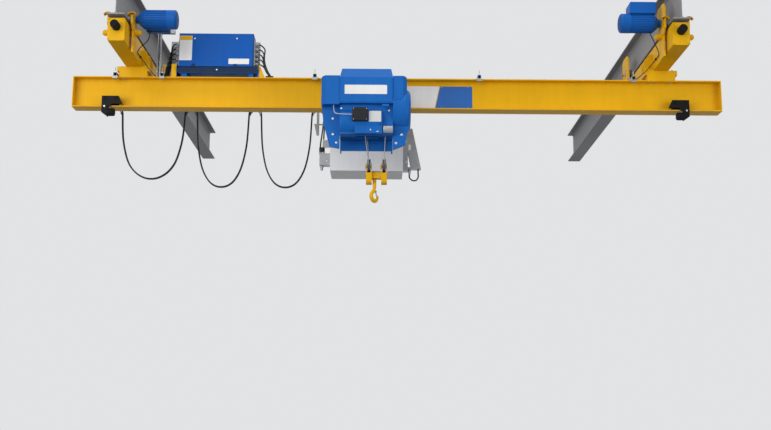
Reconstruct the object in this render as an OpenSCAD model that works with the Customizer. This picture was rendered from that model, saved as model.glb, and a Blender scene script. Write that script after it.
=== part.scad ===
// Underslung single girder overhead crane with a side mounted wire rope hoist.
// X runs along the girder, Y along the runways and Z up. The origin is on the top
// face of the left runway girder, in line with the crane girder at rest.

/* [Runway] */
// Distance between the two runway girders
span = 6024; // [5600:8:6600]
// Length of each runway girder
runway_l = 6000; // [5600:100:6400]
// Runway that stands in front of the crane's end carriages
runway_lead = 50; // [30:10:300]
// Height of the runway section
runway_h = 450; // [400:10:550]
// Flange width of the runway section
runway_b = 190; // [170:2:196]
// Web thickness of the runway section
runway_web = 9.4; // [7:0.2:12]
// Flange thickness of the runway section
runway_flange = 14.6; // [12:0.2:17]

/* [Crane girder] */
// Girder beyond each runway's centre
girder_overhang = 680; // [600:10:900]
// Height of the girder section
girder_h = 360; // [330:10:400]
// Flange width of the girder section
girder_b = 170; // [160:2:180]
// Web thickness of the girder section
girder_web = 8; // [6:0.5:12]
// Flange thickness of the girder section
girder_flange = 12.7; // [10:0.1:16]
// Root radius of the girder section
girder_root = 18; // [10:1:22]
// Thickness of the end plates
end_plate_t = 10; // [6:1:16]

/* [End carriages] */
// Length of each carriage tube
carriage_l = 2130; // [1900:10:2400]
// Width of the carriage tube
carriage_w = 184; // [160:2:200]
// Height of the carriage tube
carriage_h = 254; // [220:2:280]
// Wall of the carriage tube
carriage_wall = 8; // [5:1:12]
// How far the carriages' middle lies behind the girder
carriage_shift = 180; // [0:10:240]
// Gap between the runway's underside and the carriage tube
carriage_gap = 23; // [15:1:40]
// Distance of a wheel axle from the carriage's end
axle_inset = 260; // [230:5:320]
// Radius of a travel wheel's tread
wheel_r = 50; // [46:1:54]
// Thickness of the wheel yoke plates
yoke_t = 20; // [15:1:22]
// Width of a yoke plate along the runway
yoke_w = 260; // [220:5:300]
// Extra height of the inner yoke plates on the right runway
yoke_rise = 150; // [0:10:180]
// Radius of the spindle that carries a pair of yokes
spindle_r = 32; // [25:1:36]
// Length of the spindle
spindle_l = 390; // [370:5:420]
// Radius of a travel drive's motor
motor_r = 105; // [90:1:110]
// Length of a travel drive's motor without its fan cover
motor_l = 250; // [200:5:280]

/* [Saddles] */
// Thickness of the plate under the carriage tube
carriage_plate_t = 30; // [20:1:36]
// Thickness of the plate above the girder
girder_plate_t = 25; // [18:1:30]
// Height of the spacer on the girder's top flange
spacer_h = 61; // [45:1:80]
// Length of the saddle plates along the girder
saddle_l = 367; // [340:1:420]
// Length of the spacer along the girder
spacer_l = 320; // [280:5:330]

/* [Control box] */
// Width of the control box
box_w = 850; // [780:10:900]
// Height of the control box
box_h = 400; // [340:10:440]
// Depth of the control box
box_d = 200; // [150:5:240]
// Middle of the control box along the girder
box_x = 936; // [900:2:980]

/* [Trolley] */
// Middle of the trolley at rest
trolley_x = 2660; // [2400:20:2900]
// Length of the trolley's side plates
side_plate_l = 720; // [660:10:760]
// Thickness of the trolley's side plates
side_plate_t = 15; // [12:1:20]
// Distance between the trolley's wheels along the girder
trolley_wheelbase = 400; // [340:10:460]
// Radius of a trolley wheel's tread
trolley_wheel_r = 50; // [44:1:52]
// Radius of the trolley's cross bars
cross_bar_r = 35; // [25:1:36]
// Distance between the cross bars
cross_bar_pitch = 560; // [500:10:600]

/* [Hoist unit] */
// Distance of the hoist's front from the girder's middle
hoist_front = 655; // [620:5:700]
// Radius of the rope drum's cover
drum_cover_r = 150; // [130:2:156]
// Width of the rear box
rear_box_w = 852; // [780:4:900]
// Depth of the rear box
rear_box_d = 420; // [360:10:440]
// Height of the rear box
rear_box_h = 570; // [500:10:600]

/* [Bottom block] */
// Radius of a sheave's rim
sheave_r = 87; // [80:1:92]
// Radius of the rope
rope_r = 4.5; // [3.5:0.5:6]
// Radius of the hook's bow, to the middle of its section
hook_bow_r = 52; // [48:1:60]
// Radius of the hook's section at its thickest
hook_section_r = 22; // [18:1:24]
// Turn of the hook about its shank at rest
hook_turn = 50; // [0:1:90]

/* [Festoon] */
// Distance of the cable rail from the girder's middle
rail_y = 860; // [830:5:920]
// Radius of one festoon cable
cable_r = 9; // [6:0.5:11]

/* [Hidden] */
fit = 0.05;
gap = 0.3;
cut = 1;
round_n = 64;
small_n = 32;

// Heights of the stack, from the runway's top face down
runway_root = 21;
runway_tread_z = -runway_h + runway_flange;
carriage_top = -runway_h - carriage_gap;
carriage_bottom = carriage_top - carriage_h;
carriage_mid = (carriage_top + carriage_bottom) / 2;
plate_seam = carriage_bottom - carriage_plate_t;
spacer_top = plate_seam - girder_plate_t;
girder_top = spacer_top - spacer_h;
girder_bottom = girder_top - girder_h;
girder_tread_z = girder_bottom + girder_flange;
girder_l = span + 2 * girder_overhang;

// Places along the runway
carriage_front = carriage_shift - carriage_l / 2;
carriage_rear = carriage_shift + carriage_l / 2;
axle_front = carriage_front + axle_inset;
axle_rear = carriage_rear - axle_inset;
runway_front = carriage_front - runway_lead;

// Wheel yokes
axle_z = runway_tread_z + gap + wheel_r;
axle_r = 15;
axle_end = 8;
wheel_hub_r = axle_r + 8;
wheel_rim_r = wheel_r + 12;
rim_gap = 5;
rim_t = 12;
rim_taper = 4;
tread_w = 38;
yoke_gap = 6;
yoke_in = runway_b / 2 + rim_gap + rim_t + yoke_gap;
yoke_out = yoke_in + yoke_t;
yoke_top = axle_z + 46;
yoke_chamfer = 45;
yoke_waist_z = axle_z - 90;
spindle_drop = 155;
spindle_z = axle_z - spindle_drop;
spindle_cone = 18;
spindle_tip_r = spindle_r - 12;
yoke_eye_r = 2 * spindle_r;
tall_yoke_foot = carriage_bottom - 50;
boss_r = 34;
boss_t = 8;
guard_r = 56;
guard_t = 7;
guard_w = 56;
guard_reach = 20;
guard_z = yoke_top - yoke_chamfer - guard_r / 2;

// Carriage ends
carriage_corner = 14;
cap_t = 10;
buffer_r = 46;
buffer_l = 100;
buffer_nose = 16;
buffer_z = carriage_mid + 28;

// Saddles
gusset_t = 12;
gusset_h = 190;
gusset_w = 90;
saddle_y = girder_b;

// Travel drives on the inner yoke plates of the front wheels
drive_hub_r = 45;
drive_hub_l = 38;
drive_cone_r = 62;
drive_cone_l = 50;
motor_fin = 5;
motor_fin_h = 7;
motor_fin_n = 24;
fan_cover_l = 108;
fan_cover_round = 22;
terminal_l = 230;
terminal_w = 150;
terminal_h = 60;
terminal_sink = 24;

// Control box
box_front = -box_d / 2;
box_left = box_x - box_w / 2;
box_lift = 117;
box_bottom = girder_top + box_lift;
door_edge = 4;
door_round = 6;
door_t = 12;
tray_over = 45;
tray_shift = 25;
tray_w = box_w + 2 * tray_over;
tray_x = box_x + tray_shift;
tray_h = 75;
tray_t = 3;
tray_corner = 40;
tray_bottom = box_bottom - gap - tray_h;
tray_grip = 110;
foot_w = 60;
foot_inset = 20;
left_foot_w = 57;
right_foot_out = 66;
right_foot_top = 6;
bearer_w = 60;
bearer_d = 80;
bearer_inset = 40;
gland_r = 16;
gland_l = 34;
gland_plate_t = 14;
gland_plate_d = 90;
gland_first = 62;
gland_pitch = 60;
gland_n = 5;

// Cable rail and its arms
rail_h = 32;
rail_w = 30;
rail_wall = 3;
rail_slot = 14;
arm_w = 40;
arm_wall = 3;
arm_slot = 18;
arm_left = [200, 330, 2070];
arm_right = [2080, 320];
arm_x = [-arm_left[0], arm_left[1], arm_left[2], span - arm_right[0], span - arm_right[1]];
arm_front = -girder_b / 2 - 22;
arm_rear = rail_y + 40;
rail_x0 = -470;
rail_inset = 140;
rail_x1 = span - rail_inset;
rail_top = girder_top;
rail_floor = rail_top - rail_h + rail_wall;
clamp_w = 60;
clamp_t = 16;
clamp_lip = 22;
clamp_z = girder_top - girder_flange - clamp_t - gap;
post_offset = 45;
post_x = arm_x[1] - post_offset;
post_h = 558;
post_top = girder_top + post_h;
post_w = 40;
post_arm_l = 190;

// End stops, drawn at the left end
stop_out = [335, 300];
stop_x = [-stop_out[0], span + stop_out[1]];
stop_t = 16;
stop_y = 108;
stop_strap_l = 190;
stop_strap_nose = 235;
stop_strap_top = 121;
stop_strap_foot = 28;
stop_arm_w = 118;
stop_plate_x = 60;
stop_plate_t = 12;
stop_block_x = 20;
stop_block_l = 160;
stop_buffer_r = 45;
stop_buffer_l = 78;
stop_buffer_nose = 14;
stop_drop = 70;
stop_knee = 18;
stop_foot = stop_drop + stop_buffer_r;

// Trolley frame
trolley_rim_r = trolley_wheel_r + 10;
trolley_axle_z = girder_tread_z + gap + trolley_wheel_r;
trolley_tread_in = girder_web / 2 + girder_root + 6;
trolley_rim_y = girder_b / 2 + rim_gap;
trolley_rim_t = 12;
trolley_axle_r = 14;
trolley_hub_r = trolley_axle_r + 8;
trolley_lobe_r = 75;
side_y = trolley_rim_y + trolley_rim_t + 6;
cross_bar_z = girder_bottom - 85;
side_bottom = cross_bar_z - 60;
side_chamfer = 40;
collar_t = 14;
collar_r = cross_bar_r + 12;

// Front hoist unit, in the trolley's own X
unit_left = -282;
unit_right = 295;
unit_rear = -160;
hoist_y = -hoist_front;
unit_mid_y = (hoist_y + unit_rear) / 2;
housing_drop = 117;
housing_bottom = girder_bottom - housing_drop;
hood_fold_h = 174;
hood_h = 309;
hood_fold = girder_bottom + hood_fold_h;
hood_top = girder_bottom + hood_h;
hood_slope = 120;
hood_taper = 20;
hood_back = 60;
panel_inset = 12;
panel_t = 4;
panel_round = 8;
left_edge = -482;
right_edge = unit_right;
right_head = 446;
cover_h = 194;
cover_top = girder_bottom + cover_h;
cover_round = 22;
cover_front = hoist_y + 12;
left_head_drop = 128;
right_head_drop = 90;
left_head_bottom = girder_bottom - left_head_drop;
right_head_bottom = girder_bottom - right_head_drop;
head_chamfer = 45;
cover_setback = 95;
cover_plate_t = 45;
left_side = [[-282, -100], [-471, -100], [-471, -166], [-461, -298], [-390, -571], [-282, -592]];
right_side = [[295, -100], [440, -100], [474, -301], [457, -385], [430, -549], [295, -603]];
bell_drop = 142;
bell_z = girder_bottom - bell_drop;
bell_r = (unit_rear - hoist_y) / 2;
bell_end = 489;
bell_round = 66;
drum_y = hoist_y + drum_cover_r;
drum_drop = 305;
drum_z = girder_bottom - drum_drop;
drum_right = 169;
drum_round = 24;
drum_wall = 12;
drum_skin = 5;
rope_drum_r = 118;
drum_flange_r = 134;
drum_flange_t = 12;
rope_slot_x0 = -110;
rope_slot_x1 = 150;
rope_slot_y0 = -90;
rope_slot_y1 = 120;
rope_slot_h = 60;
guide_x0 = -116;
guide_x1 = 180;
guide_t = 8;
guide_y = hoist_y + 14;
guide_drop = 62;
guide_top = drum_z - guide_drop;
body_setback = 55;
body_front = hoist_y + body_setback;
slot_z = drum_z - drum_cover_r + 6;
guide_bottom = slot_z - 3;
anchor_x0 = 187;
anchor_l = 110;
anchor_r = 38;
anchor_y = body_front - 16;
anchor_z = slot_z + 50;
skirt_y = -340;
skirt_t = 10;
skirt_lip = 45;
skirt_drop = 567;
skirt_bottom = girder_bottom - skirt_drop;
stud_r = 8;
stud_l = 24;
switch_x = -143;
switch_w = 168;
switch_h = 147;
switch_d = 34;
switch_bottom = drum_z - 19;
switch_round = 10;

// Rear box with its side fittings, in the trolley's own X
rear_y = 345;
rear_bottom = -1820;
rear_top = rear_bottom + rear_box_h;
rear_round = 8;
rear_door_t = 4;
rear_door_inset = 24;
fitting_y = rear_y + 60;
fitting_d = 100;
left_case_w = 126;
left_case = [-1738, -1597];
left_plate_w = 82;
left_plate = [-1529, -1441];
left_plate_d = 12;
right_case_w = 60;
right_case = [-1800, -1425];
case_gland_l = 56;
case_gland_r = 20;
lead_gland_r = 16;
drop_gland_x = 100;
trough_top_z = -1290;
trough_foot_z = -1776;
trough_top = [10, 112];
trough_foot = [97, 214];
trough_d = 90;
trough_wall = 4;
bracket_h = 20;
foot_gland_x = 80;
tow_bar_t = 8;
tow_bar_w = 30;
tow_y = rear_y + 60;
tow_reach = 200;

// Bottom block, hook and rope falls
sheave_place = [39, 203];
sheave_x = [trolley_x + sheave_place[0], trolley_x + sheave_place[1]];
sheave_y = -435;
sheave_z = -1972;
sheave_t = 34;
sheave_bore = 15;
sheave_hub_r = 30;
sheave_web_in = 66;
sheave_web_t = 14;
groove_r = sheave_r - 9;
groove_half = 4;
fall_top = slot_z;
cheek_t = 8;
cheek_gap = 6;
cheek_r = 40;
cheek_foot = 82;
cup_gap = 6;
cup_r = 100;
cup_drop = 84;
cup_shoulder = [94, -34];
cup_foot = [60, -175];
cup_sole = [46, -191];
axle_nut_r = 22;
axle_nut_t = 9;
beam_z = -2107;
beam_h = 60;
beam_d = 76;
hook_place = 100;
hook_x = trolley_x + hook_place;
hook_z = -2300;
hook_shank_r = 15;
collar_gap = 5;
hook_collar_r = 20;
hook_collar_z = 98;
nut_r = 23;
nut_h = 24;
hook_sides = 12;
hook_neck = [[0, 106], [0, 96], [-2, 80], [-8, 66], [-19, 53]];
hook_neck_r = [16, 17, 18, 19, 19.5];
hook_first = 130;
hook_last = 370;
hook_step = 12;
hook_nose = 380;
hook_profile = [[130, 20], [180, 21.5], [260, 22], [320, 18], [346, 14], [370, 10.5], [380, 5]];
lug_t = 4;
lug_h = 16;
lug_reach = 6;
lug_root = 15;
latch_x = 20;
latch_z = 56;
latch_w = 14;
latch_t = 4;
latch_l = 50;
latch_lean = 18;
latch_pin_r = 3;
latch_pin_over = 5;

// Festoon: carrier places and the cables' routes
clamp_x = -420;
carrier_x = [498, 1283];
tow_x = 2055;
runner_r = 8;
runner_in = 7.5;
runner_t = 4;
runner_axle_r = 4;
runner_x = 20;
runner_z = rail_floor + gap + runner_r;
stem_w = 40;
stem_t = 8;
stem_edge = 6;
cable_bend = 75;
cable_z = -927;
saddle_z = cable_z - cable_bend;
saddle_r = 62;
saddle_t = 6;
saddle_b = 48;
cable_sides = 8;
cable_end = 0.2;
cable_pair = [-13.5, 13.5];
loop_one = [[-473, -949], [-420, -927], [-367, -949], [-345, -1002], [-325, -1300],
            [-250, -1600], [-120, -1760], [38, -1812], [196, -1760], [326, -1600],
            [402, -1300], [423, -1002], [445, -949], [498, -927], [551, -949]];
loop_two = [[445, -949], [498, -927], [551, -949], [573, -1002], [592, -1350],
            [650, -1660], [756, -1850], [890, -1907], [1026, -1850], [1130, -1660],
            [1190, -1350], [1208, -1002], [1230, -949], [1283, -927], [1336, -949]];
loop_three = [[1230, -949], [1283, -927], [1336, -949], [1358, -1002], [1376, -1350],
              [1432, -1660], [1535, -1850], [1669, -1907], [1803, -1850], [1906, -1660],
              [1962, -1350], [1980, -1002], [2002, -949], [2055, -927], [2108, -949]];
lead_one = [[2002, 873.5, -949], [2055, 873.5, -927], [2108, 873.5, -949], [2130, 870, -1002],
            [2138, 800, -1150], [2142, 650, -1320], [2148, 490, -1450], [2150, 455, -1500],
            [2150, 455, -1540], [2150, 455, -1580]];
lead_two = [[2002, 846.5, -949], [2055, 846.5, -927], [2108, 846.5, -949], [2131, 831, -1002],
            [2128, 720, -1160], [2124, 560, -1330], [2116, 470, -1450], [2114, 455, -1500],
            [2114, 455, -1540], [2114, 455, -1580]];

// Thin cables from the drives to the girder, to the limit switch and under the trough
thin_r = 5;
motor_left = [[270, -500, -430], [262, -500, -460], [270, -500, -500], [240, -460, -560],
              [152, -420, -625], [108, -350, -655], [100, -240, -650], [104, -140, -655],
              [140, -110, -700], [190, -105, -770], [240, -80, -825], [265, -65, -832],
              [300, -80, -825]];
motor_right = [[5749, -600, -280], [5749, -550, -280], [5749, -500, -280], [5774, -470, -360],
               [5864, -440, -540], [5916, -400, -640], [5922, -300, -652], [5922, -200, -650],
               [5914, -130, -665], [5864, -110, -720], [5794, -100, -790], [5754, -60, -815],
               [5724, -60, -823], [5684, -60, -815]];
switch_lead = [[2316, -618, -1290], [2314, -610, -1331], [2316, -618, -1372], [2332, -640, -1430],
               [2400, -668, -1450], [2460, -672, -1454], [2517, -672, -1454], [2570, -672, -1454]];
trough_lead = [[3166, 455, -1790], [3166, 455, -1833], [3166, 455, -1870], [3195, 452, -1904],
               [3240, 450, -1908], [3268, 450, -1870], [3268, 450, -1820], [3268, 450, -1776],
               [3268, 450, -1740]];

// Helpers

// Outline of a rolled I section with its top edge on the X axis.
module i_outline(h, b, web, flange, root) {
  translate([-b / 2, -flange]) square([b, flange]);
  translate([-b / 2, -h]) square([b, flange]);
  translate([-web / 2, -h + flange / 2]) square([web, h - flange]);
  for (side = [0, 1], end = [0, 1])
    mirror([side, 0]) translate([0, end * -h]) mirror([0, end])
      difference() {
        translate([0, -flange - root]) square([web / 2 + root, root]);
        translate([web / 2 + root, -flange - root]) circle(r = root, $fn = small_n);
      }
}

// Rectangle with rounded corners, with its lower left corner at the origin.
module round_rect(w, h, r) {
  translate([r, 0]) square([w - 2 * r, h]);
  translate([0, r]) square([w, h - 2 * r]);
  for (x = [r, w - r], y = [r, h - r])
    translate([x, y]) circle(r = r, $fn = small_n);
}

// Square channel section with its slot below, its lower left corner at the origin.
module channel(w, wall, slot) {
  difference() {
    square([w, w]);
    translate([wall, wall]) square([w - 2 * wall, w - 2 * wall]);
    translate([(w - slot) / 2, -cut]) square([slot, wall + 2 * cut]);
  }
}

// Bar that runs along X from x0, with its outline drawn in Y and Z.
module along_x(x0, l) {
  translate([x0, 0, 0]) rotate([90, 0, 90]) linear_extrude(l) children();
}

// Bar that runs along Y from y0, with its outline drawn in X and Z.
module along_y(y0, l) {
  translate([0, y0 + l, 0]) rotate([90, 0, 0]) linear_extrude(l) children();
}

// Round bar along X or along Y.
module rod_x(x0, l, r) {
  translate([x0, 0, 0]) rotate([0, 90, 0]) cylinder(r = r, h = l, $fn = round_n);
}
module rod_y(y0, l, r) {
  translate([0, y0, 0]) rotate([-90, 0, 0]) cylinder(r = r, h = l, $fn = round_n);
}

// Turned piece along X: its outline is drawn with the radius across and X up.
module turned_x(x0) {
  translate([x0, 0, 0]) rotate([0, 90, 0]) rotate_extrude($fn = round_n) children();
}

// Half outline of a turned piece with both edges rounded.
module barrel(r, l, nose) {
  square([r - nose, l]);
  translate([0, nose]) square([r, l - 2 * nose]);
  for (z = [nose, l - nose])
    translate([r - nose, z]) circle(r = nose, $fn = small_n);
}

// Half outline of a turned piece whose far edge is rounded.
module nosed(r, l, nose) {
  square([r - nose, l]);
  square([r, l - nose]);
  translate([r - nose, l - nose]) circle(r = nose, $fn = small_n);
}

// Ring of n points of radius r about the point c, square to the heading d.
function unit(v) = v / norm(v);
function loft_ring(c, d, r, n) =
  let (side = unit(cross(d, [0.02, 1, 0.03])), up = cross(side, d))
  [for (k = [0:n - 1]) let (a = 360 * k / n) c + r * (cos(a) * side + sin(a) * up)];

// Solid through a list of rings of n points each, with both ends closed.
module loft(rings, n) {
  last = (len(rings) - 1) * n;
  polyhedron(
    points = [for (q = rings) each q],
    faces = [
      [for (k = [n - 1:-1:0]) k],
      for (i = [0:len(rings) - 2], k = [0:n - 1]) let (a = i * n + k, b = i * n + (k + 1) % n)
        each [[a, b, b + n], [a, b + n, a + n]],
      [for (k = [0:n - 1]) last + k]
    ],
    convexity = 8
  );
}

// Tube along a smooth curve through the points p. The outermost points only give the headings.
function near(p, i) = p[max(0, min(len(p) - 1, i))];
function between(p, i) = (9 * (p[i] + p[i + 1]) - near(p, i - 1) - near(p, i + 2)) / 16;
function smooth(p) = [for (i = [0:2 * len(p) - 2]) i % 2 == 0 ? p[i / 2] : between(p, (i - 1) / 2)];
function way(s, i) = let (k = 2 - i % 2) unit(s[i + k] - s[i - k]);
module tube(p, r) {
  s = smooth(p);
  loft([for (i = [2:len(s) - 3]) loft_ring(s[i], way(s, i), r, cable_sides)], cable_sides);
}

// Runway

module runway(x) {
  translate([x, 0, 0]) along_y(runway_front, runway_l)
    i_outline(runway_h, runway_b, runway_web, runway_flange, runway_root);
}
module runway_left() {
  color("gray") runway(0);
}
module runway_right() {
  color("gray") runway(span);
}

// Crane girder

module main_girder() {
  color("gold") {
    translate([0, 0, girder_top]) along_x(-girder_overhang, girder_l)
      i_outline(girder_h, girder_b, girder_web, girder_flange, girder_root);
    for (x = [-girder_overhang, girder_l - girder_overhang - end_plate_t])
      translate([x, -girder_b / 2, girder_bottom]) cube([end_plate_t, girder_b, girder_h]);
  }
}

// End carriages

module at_axles() {
  for (x = [0, span], y = [axle_front, axle_rear])
    translate([x, y, 0]) children();
}
module end_carriages() {
  color("orange")
    difference() {
      for (x = [0, span])
        translate([x - carriage_w / 2, 0, carriage_bottom])
          difference() {
            along_y(carriage_front, carriage_l) round_rect(carriage_w, carriage_h, carriage_corner);
            translate([carriage_wall, 0, carriage_wall])
              along_y(carriage_front + cap_t, carriage_l - 2 * cap_t)
              square([carriage_w - 2 * carriage_wall, carriage_h - 2 * carriage_wall]);
          }
      at_axles() translate([0, 0, spindle_z]) rod_x(-carriage_w, 2 * carriage_w, spindle_r + fit);
    }
}

// One yoke plate in Y and Z, hung from the spindle, from its foot to its head.
module yoke_outline(foot, head) {
  polygon([
    [-yoke_w / 2, head - yoke_chamfer], [-yoke_w / 2 + yoke_chamfer, head],
    [yoke_w / 2 - yoke_chamfer, head], [yoke_w / 2, head - yoke_chamfer],
    [yoke_w / 2, yoke_waist_z], [yoke_eye_r, spindle_z], [-yoke_eye_r, spindle_z],
    [-yoke_w / 2, yoke_waist_z]
  ]);
  translate([0, spindle_z]) circle(r = yoke_eye_r, $fn = round_n);
  translate([-yoke_eye_r, foot]) square([2 * yoke_eye_r, spindle_z - foot]);
}
module yoke_plate(side, foot, head) {
  mirror([side < 0 ? 1 : 0, 0, 0])
    difference() {
      union() {
        along_x(yoke_in, yoke_t) yoke_outline(foot, head);
        translate([0, 0, axle_z]) rod_x(yoke_out, boss_t, boss_r);
      }
      translate([0, 0, axle_z]) rod_x(yoke_in - cut, yoke_t - 4, axle_r + fit);
      translate([0, 0, spindle_z]) rod_x(yoke_in - cut, yoke_t + 2 * cut, spindle_r + fit);
    }
}

// Curved guard on a yoke plate's outer edge, open towards the rail.
module wheel_guard(y) {
  along_y(y, guard_w) translate([(yoke_in + yoke_out) / 2, guard_z])
    difference() {
      circle(r = guard_r, $fn = round_n);
      circle(r = guard_r - guard_t, $fn = round_n);
      translate([-guard_r, -guard_r]) square([2 * guard_r, guard_r * 1.5]);
    }
}
module wheel_yokes() {
  color("gold")
    for (x = [0, span], end = [-1, 1], side = [-1, 1])
      translate([x, end < 0 ? axle_front : axle_rear, 0]) {
        inner = (x == 0) == (side > 0);
        yoke_plate(side, inner ? tall_yoke_foot : spindle_z - spindle_r,
                   yoke_top + (inner && x > 0 ? yoke_rise : 0));
        mirror([side < 0 ? 1 : 0, 0, 0])
          wheel_guard(end < 0 ? -yoke_w / 2 - guard_reach : yoke_w / 2 + guard_reach - guard_w);
      }
}
module yoke_spindles() {
  color("goldenrod")
    at_axles() translate([0, 0, spindle_z]) {
      rod_x(-spindle_l / 2, spindle_l, spindle_r);
      for (side = [0, 1])
        mirror([side, 0, 0]) translate([spindle_l / 2, 0, 0]) rotate([0, 90, 0])
          cylinder(r1 = spindle_r, r2 = spindle_tip_r, h = spindle_cone, $fn = round_n);
    }
}
module carriage_buffers() {
  color("dimgray")
    for (x = [0, span], end = [0, 1])
      translate([x, end == 0 ? carriage_front - gap : carriage_rear + gap, buffer_z])
        mirror([0, 1 - end, 0]) rotate([-90, 0, 0])
          rotate_extrude($fn = round_n) nosed(buffer_r, buffer_l, buffer_nose);
}

// Travel wheels: one body is a pair on the two sides of the runway's web.
module travel_wheel() {
  tread_out = runway_b / 2 + rim_gap;
  turned_x(0)
    polygon([
      [0, tread_out - tread_w], [wheel_r, tread_out - tread_w],
      [wheel_r, tread_out], [wheel_rim_r, tread_out],
      [wheel_rim_r - rim_taper, yoke_in - yoke_gap], [wheel_hub_r, yoke_in - yoke_gap],
      [wheel_hub_r, yoke_in - cut], [axle_r, yoke_in - cut], [axle_r, yoke_out - axle_end],
      [0, yoke_out - axle_end]
    ]);
}
module wheel_pair(x, y) {
  color("silver") translate([x, y, axle_z]) {
    travel_wheel();
    mirror([1, 0, 0]) travel_wheel();
  }
}
module wheels_left_front() {
  wheel_pair(0, axle_front);
}
module wheels_left_rear() {
  wheel_pair(0, axle_rear);
}
module wheels_right_front() {
  wheel_pair(span, axle_front);
}
module wheels_right_rear() {
  wheel_pair(span, axle_rear);
}

// Saddles: the bolted plates between a carriage and the girder, with gussets.
module saddle(x, inner) {
  gusset_x = carriage_w / 2 + gap;
  translate([x, 0, 0]) {
    translate([-saddle_l / 2, -saddle_y / 2, plate_seam]) cube([saddle_l, saddle_y, carriage_plate_t]);
    translate([-saddle_l / 2, -saddle_y / 2, spacer_top]) cube([saddle_l, saddle_y, girder_plate_t]);
    translate([-spacer_l / 2, -saddle_y / 2, girder_top]) cube([spacer_l, saddle_y, spacer_h]);
    for (y = [-saddle_y / 2, saddle_y / 2 - gusset_t])
      translate([0, y, 0]) mirror([inner < 0 ? 1 : 0, 0, 0])
        along_y(0, gusset_t)
          polygon([
            [gusset_x, carriage_bottom], [gusset_x + gusset_w, carriage_bottom],
            [gusset_x + gusset_w, carriage_bottom + gusset_h / 2],
            [gusset_x + gusset_w / 2, carriage_bottom + gusset_h],
            [gusset_x, carriage_bottom + gusset_h]
          ]);
  }
}
module saddles() {
  color("gold") {
    saddle(0, 1);
    saddle(span, -1);
  }
}

// Travel drives: hub and cone on the yoke plate, finned motor, fan cover and terminal box.
module fin_outline() {
  circle(r = motor_r - motor_fin_h, $fn = round_n);
  for (k = [0:motor_fin_n - 1])
    rotate((k + 0.5) * 360 / motor_fin_n) translate([-motor_fin / 2, 0]) square([motor_fin, motor_r - cut]);
}
module drive(x, inner, box_turn) {
  hub_x = yoke_out + boss_t + gap;
  motor_x = hub_x + drive_hub_l + drive_cone_l;
  translate([x, axle_front, axle_z]) mirror([inner < 0 ? 1 : 0, 0, 0]) {
    turned_x(hub_x)
      polygon([
        [0, 0], [drive_hub_r, 0], [drive_hub_r, drive_hub_l], [drive_cone_r, drive_hub_l],
        [motor_r, drive_hub_l + drive_cone_l], [0, drive_hub_l + drive_cone_l]
      ]);
    along_x(motor_x, motor_l) fin_outline();
    turned_x(motor_x + motor_l) nosed(motor_r, fan_cover_l, fan_cover_round);
    rotate([box_turn, 0, 0])
      translate([motor_x + (motor_l - terminal_l) / 2, -terminal_w / 2, motor_r - terminal_sink])
        cube([terminal_l, terminal_w, terminal_h + terminal_sink]);
  }
}
module travel_drives() {
  color("royalblue") {
    drive(0, 1, -90);
    drive(span, -1, 0);
  }
}

// Control box on the girder

module control_box() {
  color("mediumblue")
    translate([box_left, box_front + door_t + gap, box_bottom])
      cube([box_w, box_d - door_t - gap, box_h]);
}
module control_box_door() {
  color("royalblue") along_y(box_front, door_t)
    translate([box_left + door_edge, box_bottom + door_edge])
      round_rect(box_w - 2 * door_edge, box_h - 2 * door_edge, door_round);
}
module control_box_tray() {
  tray_left = tray_x - tray_w / 2;
  tray_right = tray_x + tray_w / 2;
  color("navy") {
    along_y(box_front, box_d)
      translate([tray_left, tray_bottom])
        difference() {
          round_rect(tray_w, tray_h + tray_corner, tray_corner);
          translate([-cut, tray_h]) square([tray_w + 2 * cut, tray_corner + cut]);
          translate([tray_t, tray_t])
            round_rect(tray_w - 2 * tray_t, tray_h + tray_corner, tray_corner - tray_t);
        }
    along_y(-girder_b / 2, girder_b) {
      for (x = [tray_left + foot_inset + tray_corner, tray_right - foot_inset - tray_corner - foot_w])
        translate([x, girder_top]) square([foot_w, tray_bottom - girder_top + tray_t / 2]);
      translate([tray_left - left_foot_w, girder_top])
        square([left_foot_w + tray_t / 2, tray_bottom - girder_top + tray_grip]);
      polygon([
        [tray_right - foot_inset, girder_top], [tray_right + right_foot_out, girder_top],
        [tray_right + right_foot_top, tray_bottom + tray_grip],
        [tray_right - tray_t / 2, tray_bottom + tray_grip],
        [tray_right - tray_t / 2, tray_bottom + tray_corner],
        [tray_right - foot_inset, tray_bottom + tray_t / 2]
      ]);
    }
    for (x = [box_left + bearer_inset, box_left + box_w - bearer_inset - bearer_w])
      translate([x, -bearer_d / 2, tray_bottom + tray_t / 2]) cube([bearer_w, bearer_d, tray_h - tray_t / 2]);
  }
}

// Cable gland in profile, screwed into a wall at the origin and pointing up.
module gland(r, l) {
  rotate_extrude($fn = small_n)
    polygon([
      [0, 0], [r, 0], [r, l * 0.4], [r * 0.8, l * 0.4], [r * 0.8, l * 0.8], [r * 0.55, l], [0, l]
    ]);
}
module cable_glands() {
  color("silver")
    for (side = [0, 1])
      translate([box_x, 0, box_bottom]) mirror([side, 0, 0]) translate([box_w / 2 + gap, 0, 0]) {
        translate([0, -gland_plate_d / 2, gland_first - gland_pitch / 2])
          cube([gland_plate_t, gland_plate_d, gland_n * gland_pitch]);
        for (k = [0:gland_n - 1])
          translate([gland_plate_t, 0, gland_first + k * gland_pitch]) rotate([0, 90, 0])
            gland(gland_r, gland_l);
      }
}

// Festoon rail and its arms on the girder's top flange

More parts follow.
